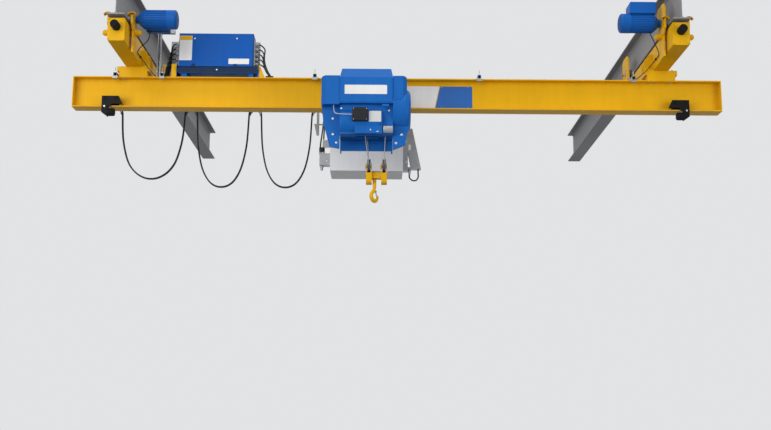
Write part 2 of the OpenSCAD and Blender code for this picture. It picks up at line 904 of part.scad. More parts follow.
module rail_arms() {
  color("silver")
    for (x = arm_x)
      translate([x, 0, 0]) {
        along_y(arm_front, arm_rear - arm_front)
          translate([-arm_w / 2, girder_top]) channel(arm_w, arm_wall, arm_slot);
        for (side = [0, 1])
          mirror([0, side, 0])
            translate([-clamp_w / 2, gap - girder_b / 2 - clamp_lip, clamp_z]) {
              cube([clamp_w, 2 * clamp_lip, clamp_t]);
              cube([clamp_w, clamp_lip - 2 * gap, clamp_t + girder_flange + 2 * gap]);
            }
      }
}
module cable_rail() {
  color("lightgray") along_x(rail_x0, rail_x1 - rail_x0)
    translate([rail_y - rail_w / 2, rail_top - rail_h])
      difference() {
        square([rail_w, rail_h]);
        translate([rail_wall, rail_wall]) square([rail_w - 2 * rail_wall, rail_h - 2 * rail_wall]);
        translate([(rail_w - rail_slot) / 2, -cut]) square([rail_slot, rail_wall + 2 * cut]);
      }
}
module supply_post() {
  color("silver") {
    translate([post_x - post_w / 2, -girder_b / 2, girder_top])
      linear_extrude(post_top - girder_top) channel(post_w, arm_wall, arm_slot);
    along_x(post_x - post_w / 2, post_arm_l)
      translate([-girder_b / 2, post_top - post_w]) channel(post_w, arm_wall, arm_slot);
  }
}

// End stops: a strap with an arm in front of the flange, a block to the web and a buffer plate.
module end_stop() {
  along_y(-stop_y, stop_t)
    translate([0, girder_bottom])
      polygon([
        [0, stop_strap_top], [stop_strap_l, stop_strap_top], [stop_strap_nose, stop_strap_foot],
        [stop_arm_w, stop_strap_foot], [stop_plate_x + stop_plate_t, -stop_knee],
        [stop_plate_x + stop_plate_t, -stop_foot], [stop_plate_x, -stop_foot], [0, -stop_drop]
      ]);
  translate([stop_block_x, stop_t - stop_y - cut, girder_tread_z + girder_root])
    cube([stop_block_l, stop_y - stop_t - girder_web / 2 - gap + cut,
          stop_strap_top - girder_flange - girder_root]);
  translate([stop_plate_x, -stop_y - stop_buffer_r / 2, girder_bottom - stop_foot])
    cube([stop_plate_t, stop_t + stop_buffer_r, stop_foot - gap - cut]);
}
module end_stops() {
  color("dimgray")
    for (i = [0, 1])
      translate([stop_x[i], 0, 0]) mirror([i, 0, 0]) end_stop();
}
module end_stop_buffers() {
  color("black")
    for (i = [0, 1])
      translate([stop_x[i], stop_t / 2 - stop_y, girder_bottom - stop_drop]) mirror([i, 0, 0])
        turned_x(stop_plate_x + stop_plate_t + gap) nosed(stop_buffer_r, stop_buffer_l, stop_buffer_nose);
}

// Trolley

module trolley_wheel() {
  rotate([-90, 0, 0]) rotate_extrude($fn = round_n)
    polygon([
      [0, trolley_tread_in], [trolley_wheel_r, trolley_tread_in],
      [trolley_wheel_r, trolley_rim_y], [trolley_rim_r, trolley_rim_y],
      [trolley_rim_r - rim_taper, trolley_rim_y + trolley_rim_t],
      [trolley_hub_r, trolley_rim_y + trolley_rim_t],
      [trolley_hub_r, side_y - cut], [trolley_axle_r, side_y - cut],
      [trolley_axle_r, side_y + side_plate_t - 4 * cut], [0, side_y + side_plate_t - 4 * cut]
    ]);
}
module trolley_wheels(end) {
  color("silver") translate([trolley_x + end * trolley_wheelbase / 2, 0, trolley_axle_z]) {
    trolley_wheel();
    mirror([0, 1, 0]) trolley_wheel();
  }
}
module trolley_wheels_left() {
  trolley_wheels(-1);
}
module trolley_wheels_right() {
  trolley_wheels(1);
}
module side_plate_outline() {
  polygon([
    [-side_plate_l / 2 + side_chamfer, side_bottom], [side_plate_l / 2 - side_chamfer, side_bottom],
    [side_plate_l / 2, side_bottom + side_chamfer], [side_plate_l / 2, girder_bottom],
    [trolley_wheelbase / 2, trolley_axle_z], [-trolley_wheelbase / 2, trolley_axle_z],
    [-side_plate_l / 2, girder_bottom], [-side_plate_l / 2, side_bottom + side_chamfer]
  ]);
  for (x = [-1, 1])
    translate([x * trolley_wheelbase / 2, trolley_axle_z]) circle(r = trolley_lobe_r, $fn = round_n);
}
module trolley_side_plates() {
  color("royalblue") translate([trolley_x, 0, 0])
    for (side = [0, 1])
      mirror([0, side, 0])
        difference() {
          along_y(side_y, side_plate_t) side_plate_outline();
          for (x = [-1, 1]) {
            translate([x * trolley_wheelbase / 2, 0, trolley_axle_z])
              rod_y(side_y - cut, side_plate_t - 2 * cut, trolley_axle_r + fit);
            translate([x * cross_bar_pitch / 2, 0, cross_bar_z])
              rod_y(side_y - cut, side_plate_t + 2 * cut, cross_bar_r + fit);
          }
        }
}
module trolley_cross_bars() {
  color("slategray") translate([trolley_x, 0, cross_bar_z])
    for (x = [-1, 1])
      translate([x * cross_bar_pitch / 2, 0, 0]) {
        rod_y(unit_rear + gap, rear_y - unit_rear - 2 * gap, cross_bar_r);
        for (side = [0, 1])
          mirror([0, side, 0]) rod_y(side_y + side_plate_t + gap, collar_t, collar_r);
      }
}

// Front hoist unit

// Hood with a sloping front, tapered at both sides, and a raised panel on its face.
module hoist_housing() {
  x0 = unit_left + gap;
  x1 = unit_right - gap;
  color("dodgerblue") translate([trolley_x, 0, 0]) {
    intersection() {
      along_x(x0, x1 - x0)
        polygon([
          [hoist_y + panel_t, housing_bottom], [hoist_y + panel_t, hood_fold],
          [hoist_y + hood_slope, hood_top],
          [unit_rear - hood_back, hood_top], [unit_rear, hood_top - hood_back], [unit_rear, housing_bottom]
        ]);
      along_y(hoist_y, hoist_front)
        polygon([
          [x0, housing_bottom - cut], [x0, hood_fold], [x0 + hood_taper, hood_top + cut],
          [x1 - hood_taper, hood_top + cut], [x1, hood_fold], [x1, housing_bottom - cut]
        ]);
    }
    along_y(hoist_y, panel_t + cut)
      translate([x0 + panel_inset, housing_bottom + panel_inset])
        round_rect(x1 - x0 - 2 * panel_inset, hood_fold - housing_bottom - 2 * panel_inset, panel_round);
  }
}

// Box with its outer upper corner rounded and its outer front edge chamfered, from x0 out to x1.
module cover_head(x0, x1, bottom) {
  l = x1 - x0;
  translate([x0, 0, 0])
    intersection() {
      along_y(cover_front, unit_rear - cover_front)
        translate([0, bottom]) {
          square([l - cover_round, cover_top - bottom]);
          square([l, cover_top - bottom - cover_round]);
          translate([l - cover_round, cover_top - bottom - cover_round])
            circle(r = cover_round, $fn = small_n);
        }
      translate([0, 0, bottom - cut]) linear_extrude(cover_top - bottom + 2 * cut)
        polygon([
          [-cut, cover_front - cut], [l - head_chamfer, cover_front - cut],
          [l + cut, cover_front + head_chamfer],
          [l + cut, unit_rear + cut], [-cut, unit_rear + cut]
        ]);
    }
}
module cover_plate(outline) {
  along_y(cover_front + cover_setback, cover_plate_t)
    translate([0, girder_bottom]) polygon(outline);
}
module hoist_left_cover() {
  color("royalblue") translate([trolley_x, 0, 0]) {
    mirror([1, 0, 0]) cover_head(-unit_left, -left_edge, left_head_bottom);
    cover_plate(left_side);
  }
}
module hoist_right_cover() {
  color("royalblue") translate([trolley_x, 0, 0]) {
    cover_head(right_edge, right_head, right_head_bottom);
    cover_plate(right_side);
    translate([0, unit_mid_y, bell_z]) turned_x(right_edge) nosed(bell_r, bell_end - right_edge, bell_round);
  }
}
module hoist_body() {
  color("mediumblue") translate([trolley_x, 0, 0]) {
    difference() {
      translate([unit_left + gap, body_front, slot_z + gap])
        cube([unit_right - unit_left - 2 * gap, unit_rear - body_front, housing_bottom - slot_z - 2 * gap]);
      translate([0, drum_y, drum_z])
        rod_x(unit_left, drum_right - unit_left + drum_wall, drum_cover_r + cut);
    }
    translate([0, anchor_y, anchor_z]) rod_x(anchor_x0, anchor_l - gap, anchor_r);
  }
}

// Shell round the rope drum with a slot below, and the guide that covers the slot's front.
module drum_cover() {
  l = drum_right - unit_left - gap;
  color("deepskyblue") translate([trolley_x, drum_y, drum_z]) {
    difference() {
      turned_x(unit_left + gap) barrel(drum_cover_r, l, drum_round);
      rod_x(unit_left + drum_wall, l - 2 * drum_wall, drum_cover_r - drum_skin);
      translate([rope_slot_x0, rope_slot_y0, -drum_cover_r - cut])
        cube([rope_slot_x1 - rope_slot_x0, rope_slot_y1 - rope_slot_y0, rope_slot_h]);
    }
    translate([guide_x0, guide_y - drum_y, guide_bottom - drum_z])
      cube([guide_x1 - guide_x0, guide_t, guide_top - guide_bottom]);
  }
}
module rope_drum() {
  x0 = unit_left + drum_wall + gap;
  l = drum_right - unit_left - 2 * drum_wall - 3 * gap;
  color("silver") translate([trolley_x, drum_y, drum_z]) {
    rod_x(x0, l, rope_drum_r);
    for (x = [x0, x0 + l - drum_flange_t])
      rod_x(x, drum_flange_t, drum_flange_r);
  }
}
module limit_switch_box() {
  color("black") translate([trolley_x + switch_x, 0, switch_bottom])
    along_y(hoist_y - switch_d, switch_d - gap) round_rect(switch_w, switch_h, switch_round);
}
module rope_skirt() {
  x0 = unit_left + gap;
  l = unit_right - unit_left - 2 * gap;
  color("royalblue") translate([trolley_x, 0, 0]) {
    translate([x0, skirt_y, skirt_bottom]) cube([l, skirt_t, slot_z - skirt_bottom]);
    for (x = [x0, x0 + l - skirt_t])
      translate([x, skirt_y, skirt_bottom]) cube([skirt_t, skirt_lip, slot_z - skirt_bottom]);
    for (x = [x0 + stud_r, x0 + l - stud_r])
      translate([x, skirt_y + skirt_lip / 2, skirt_bottom - stud_l])
        cylinder(r = stud_r, h = stud_l + cut, $fn = small_n);
  }
}

// Rear box with its fittings and the arm that tows the festoon

module rear_box() {
  color("gainsboro") translate([trolley_x - rear_box_w / 2, 0, rear_bottom]) {
    along_y(rear_y, rear_box_d) round_rect(rear_box_w, rear_box_h, rear_round);
    translate([rear_door_inset, 0, rear_door_inset]) along_y(rear_y + rear_box_d - cut, rear_door_t + cut)
      round_rect(rear_box_w - 2 * rear_door_inset, rear_box_h - 2 * rear_door_inset, rear_round);
  }
}
module side_case(w, z, d) {
  translate([rear_box_w / 2 + gap, fitting_y, z[0]]) cube([w, d, z[1] - z[0]]);
}

// Sloping channel with its web in front, between the case and the cable loop below it.
module trough() {
  translate([rear_box_w / 2, 0, 0])
    difference() {
      along_y(fitting_y, trough_d)
        polygon([
          [trough_top[0], trough_top_z], [trough_top[1], trough_top_z],
          [trough_foot[1], trough_foot_z], [trough_foot[0], trough_foot_z]
        ]);
      along_y(fitting_y + trough_wall, trough_d)
        polygon([
          [trough_top[0] + trough_wall, trough_top_z + cut], [trough_top[1] - trough_wall, trough_top_z + cut],
          [trough_foot[1] - 2 * trough_wall, trough_foot_z + trough_wall],
          [trough_foot[0] + trough_wall, trough_foot_z + trough_wall]
        ]);
    }
}
module rear_box_glands() {
  lead_y = lead_one[8][1];
  color("silver") translate([trolley_x, 0, 0]) {
    mirror([1, 0, 0]) {
      side_case(left_case_w, left_case, fitting_d);
      side_case(left_plate_w, left_plate, left_plate_d);
      translate([rear_box_w / 2 + drop_gland_x, lead_y, left_case[0]]) mirror([0, 0, 1])
        gland(case_gland_r, case_gland_l);
    }
    for (x = [lead_one[8][0], lead_two[8][0]])
      translate([x - trolley_x, lead_y, left_case[1]])
        gland(lead_gland_r, lead_one[8][2] - left_case[1] - gap);
    side_case(right_case_w, right_case, fitting_d);
    trough();
    translate([rear_box_w / 2 + gap, fitting_y, trough_foot_z])
      cube([trough_foot[0] + trough_wall, fitting_d, bracket_h]);
    translate([rear_box_w / 2 + foot_gland_x, lead_y, trough_foot_z]) mirror([0, 0, 1])
      gland(case_gland_r, trough_foot_z - trough_lead[1][2] - gap);
  }
}
module tow_arm() {
  bar_z = rear_top + gap;
  post_end = saddle_z + saddle_r - saddle_t - cut;
  color("gray") {
    translate([tow_x - tow_bar_w / 2, tow_y, bar_z])
      cube([trolley_x - tow_reach - tow_x + tow_bar_w / 2, tow_bar_w, tow_bar_t]);
    translate([tow_x - tow_bar_w / 2, tow_y, bar_z]) cube([tow_bar_w, rail_y - tow_y, tow_bar_t]);
    translate([tow_x - tow_bar_w / 2, rail_y - tow_bar_w / 2, bar_z])
      cube([tow_bar_w, tow_bar_w, post_end - bar_z]);
    carrier_body(tow_x);
  }
}

// Bottom block, sheaves, hook and rope falls

module sheave(i) {
  web_low = (sheave_t - sheave_web_t) / 2;
  web_high = (sheave_t + sheave_web_t) / 2;
  color("dimgray") translate([0, sheave_y, sheave_z]) turned_x(sheave_x[i] - sheave_t / 2)
    polygon([
      [sheave_bore + fit, 0], [sheave_hub_r, 0], [sheave_hub_r, web_low], [sheave_web_in, web_low],
      [sheave_web_in, 0], [sheave_r, 0], [groove_r, sheave_t / 2 - groove_half],
      [groove_r, sheave_t / 2 + groove_half], [sheave_r, sheave_t], [sheave_web_in, sheave_t],
      [sheave_web_in, web_high], [sheave_hub_r, web_high], [sheave_hub_r, sheave_t],
      [sheave_bore + fit, sheave_t]
    ]);
}
module sheave_one() {
  sheave(0);
}
module sheave_two() {
  sheave(1);
}

// Side outline of one guard: a cup round the sheave's lower half on a rounded weight.
module cup_outline() {
  difference() {
    union() {
      circle(r = cup_r, $fn = round_n);
      polygon([
        [-cup_shoulder[0], cup_shoulder[1]], [-cup_foot[0], cup_foot[1]], [-cup_sole[0], cup_sole[1]],
        [cup_sole[0], cup_sole[1]], [cup_foot[0], cup_foot[1]], [cup_shoulder[0], cup_shoulder[1]]
      ]);
    }
    translate([-cup_r - cut, -cup_drop]) square([2 * (cup_r + cut), cup_r + cup_drop + cut]);
  }
}
module cheek_outline() {
  circle(r = cheek_r, $fn = round_n);
  polygon([
    [-cheek_r, 0], [cheek_r, 0], [cheek_foot, -cup_drop - cut], [-cheek_foot, -cup_drop - cut]
  ]);
}
module bottom_block() {
  room = sheave_t + 2 * cheek_gap;
  beam_x = sheave_x[0] + room / 2;
  color("gold") {
    for (x = sheave_x)
      translate([x, sheave_y, sheave_z]) {
        difference() {
          union() {
            along_x(-room / 2 - cheek_t, room + 2 * cheek_t) cup_outline();
            for (c = [-room / 2 - cheek_t, room / 2])
              along_x(c, cheek_t) cheek_outline();
          }
          rod_x(-room / 2, room, sheave_r + cup_gap);
        }
        rod_x(-room / 2 - cheek_t - axle_nut_t, axle_nut_t + cut, axle_nut_r);
        rod_x(-room / 2 - cut, room + 2 * cut, sheave_bore);
      }
    difference() {
      translate([beam_x, sheave_y - beam_d / 2, beam_z])
        cube([sheave_x[1] - sheave_x[0] - room, beam_d, beam_h]);
      translate([hook_x, sheave_y, beam_z - cut])
        cylinder(r = hook_shank_r + fit, h = beam_h + 2 * cut, $fn = round_n);
    }
  }
}

// The hook's rings in its own plane: the neck, the bow and the nose.
function bow_ring(a) =
  loft_ring([hook_bow_r * cos(a), 0, hook_bow_r * sin(a)], [-sin(a), 0, cos(a)],
            lookup(a, hook_profile), hook_sides);
function neck_ring(k) =
  let (p = hook_neck[k], q = k == 0 ? p + [0, 1] : hook_neck[k - 1],
       d = k + 1 < len(hook_neck) ? hook_neck[k + 1] : hook_bow_r * [cos(hook_first), sin(hook_first)])
  loft_ring([p[0], 0, p[1]], unit([d[0] - q[0], 0, d[1] - q[1]]), hook_neck_r[k], hook_sides);
module hook() {
  nut_z = beam_z + beam_h + gap;
  color("gold") translate([hook_x, sheave_y, 0]) rotate([0, 0, hook_turn])
    difference() {
      union() {
        translate([0, 0, hook_z])
          loft(concat([for (k = [0:len(hook_neck) - 1]) neck_ring(k)],
                      [for (a = [hook_first:hook_step:hook_last]) bow_ring(a)], [bow_ring(hook_nose)]),
               hook_sides);
        translate([0, 0, hook_z + hook_collar_z])
          cylinder(r = hook_collar_r, h = beam_z - collar_gap - hook_z - hook_collar_z, $fn = round_n);
        translate([0, 0, beam_z - collar_gap - cut])
          cylinder(r = hook_shank_r, h = beam_h + collar_gap + nut_h + 2 * cut, $fn = round_n);
        translate([0, 0, nut_z]) cylinder(r = nut_r, h = nut_h, $fn = round_n);
        for (side = [0, 1])
          mirror([0, side, 0])
            translate([-lug_root, latch_w / 2 + cut, hook_z + latch_z - lug_h / 2])
              cube([lug_root + latch_x + lug_reach, lug_t, lug_h]);
      }
      translate([latch_x, 0, hook_z + latch_z])
        rod_y(-hook_section_r, 2 * hook_section_r, latch_pin_r + fit);
    }
}
module hook_latch() {
  color("silver") translate([hook_x, sheave_y, 0]) rotate([0, 0, hook_turn])
    translate([latch_x, 0, hook_z + latch_z]) {
      rotate([0, -latch_lean, 0])
        translate([-latch_t / 2, -latch_w / 2, -latch_l]) cube([latch_t, latch_w, latch_l]);
      rod_y(-latch_w / 2 - latch_pin_over, latch_w + 2 * latch_pin_over, latch_pin_r);
    }
}
module rope_falls() {
  color("lightgray")
    for (x = sheave_x, side = [-1, 1])
      translate([x, sheave_y + side * (groove_r + rope_r + gap), sheave_z])
        cylinder(r = rope_r, h = fall_top - sheave_z, $fn = small_n);
}

// Festoon carriers and cables

// Carrier with four small wheels in the rail, a stem and a saddle for the cables.
module carrier_body(x) {
  translate([x, rail_y, 0]) {
    for (dx = [-runner_x, runner_x])
      translate([dx, 0, runner_z]) {
        rod_y(-runner_in - runner_t, 2 * (runner_in + runner_t), runner_axle_r);
        for (side = [0, 1])
          mirror([0, side, 0]) rod_y(runner_in, runner_t, runner_r);
      }
    along_y(-stem_t / 2, stem_t)
      polygon([
        [-runner_x - stem_edge, runner_z - stem_edge], [-runner_x - stem_edge, runner_z + stem_edge],
        [runner_x + stem_edge, runner_z + stem_edge], [runner_x + stem_edge, runner_z - stem_edge],
        [stem_w / 2, rail_top - rail_h - stem_w / 2], [stem_w / 2, saddle_z + saddle_r - 2 * saddle_t],
        [-stem_w / 2, saddle_z + saddle_r - 2 * saddle_t], [-stem_w / 2, rail_top - rail_h - stem_w / 2]
      ]);
    along_y(-saddle_b / 2, saddle_b)
      translate([0, saddle_z])
        difference() {
          circle(r = saddle_r, $fn = round_n);
          circle(r = saddle_r - saddle_t, $fn = round_n);
          translate([-saddle_r - cut, -saddle_r - cut]) square([2 * (saddle_r + cut), saddle_r + cut]);
        }
  }
}
module festoon_clamp() {
  color("dimgray") carrier_body(clamp_x);
}
module festoon_carrier_one() {
  color("dimgray") carrier_body(carrier_x[0]);
}
module festoon_carrier_two() {
  color("dimgray") carrier_body(carrier_x[1]);
}

// Cable from its list of points, cut back a little at both ends.
function trim(p) =
  let (n = len(p) - 2)
  [for (i = [0:n + 1]) i == 1 ? p[i] + cable_end * unit(p[2] - p[0])
                     : i == n ? p[i] - cable_end * unit(p[n + 1] - p[n - 1]) : p[i]];
module festoon_loop(points) {
  color("black")
    for (dy = cable_pair)
      tube(trim([for (p = points) [p[0], rail_y + dy, p[1]]]), cable_r);
}
module festoon_loop_one() {
  festoon_loop(loop_one);
}
module festoon_loop_two() {
  festoon_loop(loop_two);
}
module festoon_loop_three() {
  festoon_loop(loop_three);
}
module festoon_lead() {
  color("black") {
    tube(trim(lead_one), cable_r);
    tube(trim(lead_two), cable_r);
  }
}
module motor_cables() {
  color("black") {
    tube(trim(motor_left), thin_r);
    tube(trim(motor_right), thin_r);
  }
}
module switch_cable() {
  color("lightgray") tube(trim(switch_lead), thin_r);
}
module trough_cable() {
  color("black") tube(trim(trough_lead), thin_r);
}

runway_left();
runway_right();
main_girder();
end_carriages();
wheel_yokes();
yoke_spindles();
saddles();
travel_drives();
carriage_buffers();
control_box();
control_box_door();
control_box_tray();
cable_glands();
rail_arms();
cable_rail();
supply_post();
end_stops();
end_stop_buffers();
wheels_left_front();
wheels_left_rear();
wheels_right_front();
wheels_right_rear();
trolley_side_plates();
trolley_cross_bars();
trolley_wheels_left();
trolley_wheels_right();
hoist_housing();
hoist_left_cover();
hoist_right_cover();
drum_cover();
hoist_body();
rope_skirt();
rope_drum();
limit_switch_box();
rear_box();
rear_box_glands();
tow_arm();
bottom_block();
sheave_one();
sheave_two();
hook();
hook_latch();
rope_falls();
festoon_clamp();
festoon_carrier_one();
festoon_carrier_two();
festoon_loop_one();
festoon_loop_two();
festoon_loop_three();
festoon_lead();
motor_cables();
switch_cable();
trough_cable();
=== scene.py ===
"""Dresses the overhead crane with materials, cables, ropes, fasteners and bare plates in a plain studio."""
import json
import math

import bmesh
import bpy
import numpy as np
from bpy.props import FloatProperty, FloatVectorProperty, PointerProperty
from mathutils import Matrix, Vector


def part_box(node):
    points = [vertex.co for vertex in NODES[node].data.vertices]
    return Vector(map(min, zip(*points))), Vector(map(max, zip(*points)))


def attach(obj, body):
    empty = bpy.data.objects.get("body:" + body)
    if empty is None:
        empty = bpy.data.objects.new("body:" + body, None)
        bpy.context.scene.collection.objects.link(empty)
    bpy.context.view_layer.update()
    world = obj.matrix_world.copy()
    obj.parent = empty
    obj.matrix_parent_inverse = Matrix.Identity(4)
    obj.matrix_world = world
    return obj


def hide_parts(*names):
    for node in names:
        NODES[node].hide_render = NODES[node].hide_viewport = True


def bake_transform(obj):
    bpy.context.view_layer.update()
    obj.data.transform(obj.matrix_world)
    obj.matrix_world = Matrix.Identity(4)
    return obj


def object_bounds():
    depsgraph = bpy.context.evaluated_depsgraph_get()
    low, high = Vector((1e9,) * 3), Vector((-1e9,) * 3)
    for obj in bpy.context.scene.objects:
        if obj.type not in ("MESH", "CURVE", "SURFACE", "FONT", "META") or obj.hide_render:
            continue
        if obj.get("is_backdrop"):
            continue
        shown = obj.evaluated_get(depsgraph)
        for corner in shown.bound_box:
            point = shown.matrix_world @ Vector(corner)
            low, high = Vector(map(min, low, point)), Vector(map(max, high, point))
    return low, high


bl_info = {
    "name": "Overhead crane dressing",
    "version": (1, 0, 0),
    "blender": (4, 5, 0),
    "location": "3D View > Sidebar > Crane",
    "description": "Materials, cables, ropes, fasteners and plates for the overhead crane",
    "category": "Object",
}

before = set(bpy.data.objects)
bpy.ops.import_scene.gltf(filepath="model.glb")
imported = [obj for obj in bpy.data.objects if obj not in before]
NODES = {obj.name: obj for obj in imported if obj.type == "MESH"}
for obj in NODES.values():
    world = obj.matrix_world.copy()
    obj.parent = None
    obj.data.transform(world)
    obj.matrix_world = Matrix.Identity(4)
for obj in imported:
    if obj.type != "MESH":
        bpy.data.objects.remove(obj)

# The camera that fits the photograph, in metres, radians and pixels
CAMERA_AT = (2.8128, -11.1037, -4.6957)
CAMERA_TURN = (math.pi / 2 + 0.1643, -0.0061, -0.0057)
CAMERA_SHIFT = (0.0026, 0.05)
PHOTO_WIDTH = 771
FOCAL_PX = 1008.9
SENSOR_MM = 36.0

# Directions
ORIGIN = (0, 0, 0)
ALONG = (1, 0, 0)
UP, DOWN = (0, 0, 1), (0, 0, -1)
FRONT, BACK = (0, -1, 0), (0, 1, 0)

# Bridge, in metres. Each end is its carriage's middle and the way that faces the girder's middle.
SPAN = 6.024
BRIDGE_ENDS = ((0, 1), (SPAN, -1))
GIRDER_TOP = -0.843
GIRDER_BOTTOM = -1.203
GIRDER_FLANGE = 0.0127
BANNER_PIN_X = (2.32, 2.72, 3.12, 3.52, 3.82)
# Bolts of each saddle and nuts under the girder's flange: how far out from the saddle's middle
SADDLE_BOLT = (0.135, 0.047)
FLANGE_NUT = (0.11, 0.055)
SADDLE_TOP = -0.727
# Clamps of the cable rail's arms, each with a stud before and behind the girder's web
ARM_X = (-0.200, 0.330, 2.070, SPAN - 2.080, SPAN - 0.320)
ARM_TOP = -0.803
STUD_Y = (-0.094, 0.100)
# Wheel axles, and how far the yokes' outer faces stand from the carriage's middle
AXLE_Y = (-0.625, 0.985)
AXLE_Z = -0.3851
YOKE_OUT = 0.138
# Travel drives: their outer end and flange, measured out from the carriage's middle, and their fan grille
DRIVE_END = 0.5925
DRIVE_FLANGE = 0.1863
FLANGE_CIRCLE = 0.052
FAN_R = 0.084
GRILLE_RINGS = (0.020, 0.034, 0.048, 0.062, 0.076)
GRILLE_BAR = (0.012, 0.045, 0.082)
# The drives' terminal lids: outline, front and back
LIDS = (((5.530, -0.300, 5.815, -0.172), -0.716, -0.534), ((0.225, -0.469, 0.484, -0.301), -0.486, -0.436))
# Each end stop's outer edge and the way that faces the girder's middle, and the stops' front
STOP_EDGES = ((-0.335, 1), (6.324, -1))
STOP_FRONT = -0.108
# The end faces of both carriages and the ways they look
CARRIAGE_FACES = ((-0.885, FRONT), (1.245, BACK))

# Control box: its tray, its glands, and the black blocks where their cables enter the girder
TRAY_X = (0.491, 1.431)
TRAY_BOTTOM = -0.8013
TRAY_FRONT = -0.094
GLAND_X = (0.4627, 1.4093)
GLAND_Z = np.arange(5) * 0.060 - 0.664
# The sheets behind the glands: from x to x for each, from front to back, and from foot to top
GLAND_SHEETS = ((0.395, 0.512), (1.360, 1.425))
SHEET_Y = (0.049, 0.052)
SHEET_Z = (-0.700, -0.375)
NUT_X = (0.480, 1.392)
BOX_FEET = ((0.463, -0.060, -0.6913), (0.463, 0.060, -0.6913))
ENTRY_X = (0.366, 1.548)
ENTRY_TOP = -0.815
# Where each bundle of cables hangs: heights, and x at each of them
BUNDLES = (((ENTRY_TOP, -0.700, -0.400), (ENTRY_X[0], 0.384, 0.398)),
           ((ENTRY_TOP, -0.690, -0.586, -0.400), (ENTRY_X[1], 1.485, 1.462, 1.470)))

# Hoist: the trolley's middle, the fronts of the housing and the side plates, and the places of its fittings
TROLLEY = 2.660
HOIST_Y = -0.655
SIDE_PLATE_Y = -0.548
COLLAR_AT = (2.8270, -0.505, -1.508)
SLEEVE_AT = (2.851, -0.616, -1.602)
SLOT_LIPS = ((-0.592, -0.530), (-0.506, -0.388))
REAR_SIDE_PLATE = ((2.148, 0.424, -1.513), (2.238, 0.427, -1.424))
LEAD_GLAND = (2.100, 0.428, 2.166, 0.482)

# Four rope falls, one before and one behind each sheave's axle
SHEAVE_X = (TROLLEY + 0.039, TROLLEY + 0.203)
SHEAVE_Y = -0.435
SHEAVE_Z = -1.972
FALL_TOP = -1.652
FALL_OFFSET = 0.0828
# How far each fall leans sideways at its top: front and back fall of each sheave
FALL_LEANS = ((-0.042, -0.016), (0.012, 0.010))
ROPE_R = 0.0045
STRANDS = 6
# Where a strand's middle lies, as a share of the rope's radius
STRAND_PLACE = 0.64

# Flat plates given as (x0, z0, x1, z1)
DOOR_LABEL = (0.518, -0.652, 0.663, -0.3585)
DOOR_BAND = (0.520, -0.410, 0.661, -0.3605)
DOOR_PLATE = (1.083, -0.694, 1.318, -0.629)
HOIST_PLATE = (TROLLEY - 0.228, -1.221, TROLLEY + 0.230, -1.119)
DRUM_LABEL = (2.697, -1.530, 2.828, -1.410)
BODY_BRACKET = (2.838, -1.360, 2.911, -1.334)
CHANNEL_LABEL = (3.153, -1.554, 3.180, -1.487)

# Bolts and latches given as (x, z)
DOOR_SCREWS = ((0.692, -0.3917), (1.173, -0.3885))
DOOR_LATCHES = ((0.683, -0.7036), (1.1615, -0.7036))
TRAY_SCREW = ((0.952, -0.760),)
BODY_BOLTS = ((2.397, -1.365), (2.916, -1.385))
GUIDE_BOLTS = ((2.714, -1.614), (2.790, -1.632))
BELL_BOLTS = ((3.028, -1.270), (2.985, -1.275))
COVER_BOLTS = ((2.3056, -1.4659), (2.308, -1.6423), (2.345, -1.735), (2.990, -1.735), (3.052, -1.640))
FITTING_BOLTS = ((2.195, -1.690), (3.119, -1.446), (3.122, -1.690))

# Cables: the rail's middle, how far the two festoon cables stand from it, and how much shorter than its route
# a cable is at each end
RAIL_Y = 0.860
CABLE_PAIR = (-0.0135, 0.0135)
CORD_END = 0.0002
CABLE_R = 0.009
THIN_R = 0.005
TROUGH_R = 0.0085
BOX_CABLE_R = 0.0078
CLIP_PLACES = ((0.104, -0.190, -0.652), (5.922, -0.250, -0.651))

# The floor, how much of the light it throws back, and the sky's light and its shown colour
FLOOR_Z = -9.0
FLOOR_CORNERS = ((-60.0, -60.0), (66.0, 60.0))
FLOOR_TONE = (0.22, 0.22, 0.22)
SKY_LIGHT = (0.47, 0.48, 0.50)
SKY_SHOWN = (0.76, 0.77, 0.78)
# Each lamp's name, place, target, width in metres and power in watts
LAMPS = (("Key", (-3.0, -11.0, 1.5), (2.9, 0, -1.2), 7.0, 400),
         ("Left", (-8.0, -8.5, -2.6), (2.9, 0, -1.4), 6.0, 650),
         ("Right", (13.5, -8.5, -2.6), (3.2, 0, -1.4), 6.0, 520),
         ("Top", (3.0, -3.5, 8.5), (3.0, 0, -1.0), 5.0, 300))

# How strong the reflections are, on most paints and on grey paint
PAINT_GLOSS = 0.12
GREY_GLOSS = 0.3

# The cables' routes, in metres. The outermost points only give the headings.
LOOP_ONE = [(-0.473, -0.949), (-0.420, -0.927), (-0.367, -0.949), (-0.345, -1.002), (-0.325, -1.300),
            (-0.250, -1.600), (-0.120, -1.760), (0.038, -1.812), (0.196, -1.760), (0.326, -1.600),
            (0.402, -1.300), (0.423, -1.002), (0.445, -0.949), (0.498, -0.927), (0.551, -0.949)]
LOOP_TWO = [(0.445, -0.949), (0.498, -0.927), (0.551, -0.949), (0.573, -1.002), (0.592, -1.350),
            (0.650, -1.660), (0.756, -1.850), (0.890, -1.907), (1.026, -1.850), (1.130, -1.660),
            (1.190, -1.350), (1.208, -1.002), (1.230, -0.949), (1.283, -0.927), (1.336, -0.949)]
LOOP_THREE = [(1.230, -0.949), (1.283, -0.927), (1.336, -0.949), (1.358, -1.002), (1.376, -1.350),
              (1.432, -1.660), (1.535, -1.850), (1.669, -1.907), (1.803, -1.850), (1.906, -1.660),
              (1.962, -1.350), (1.980, -1.002), (2.002, -0.949), (2.055, -0.927), (2.108, -0.949)]
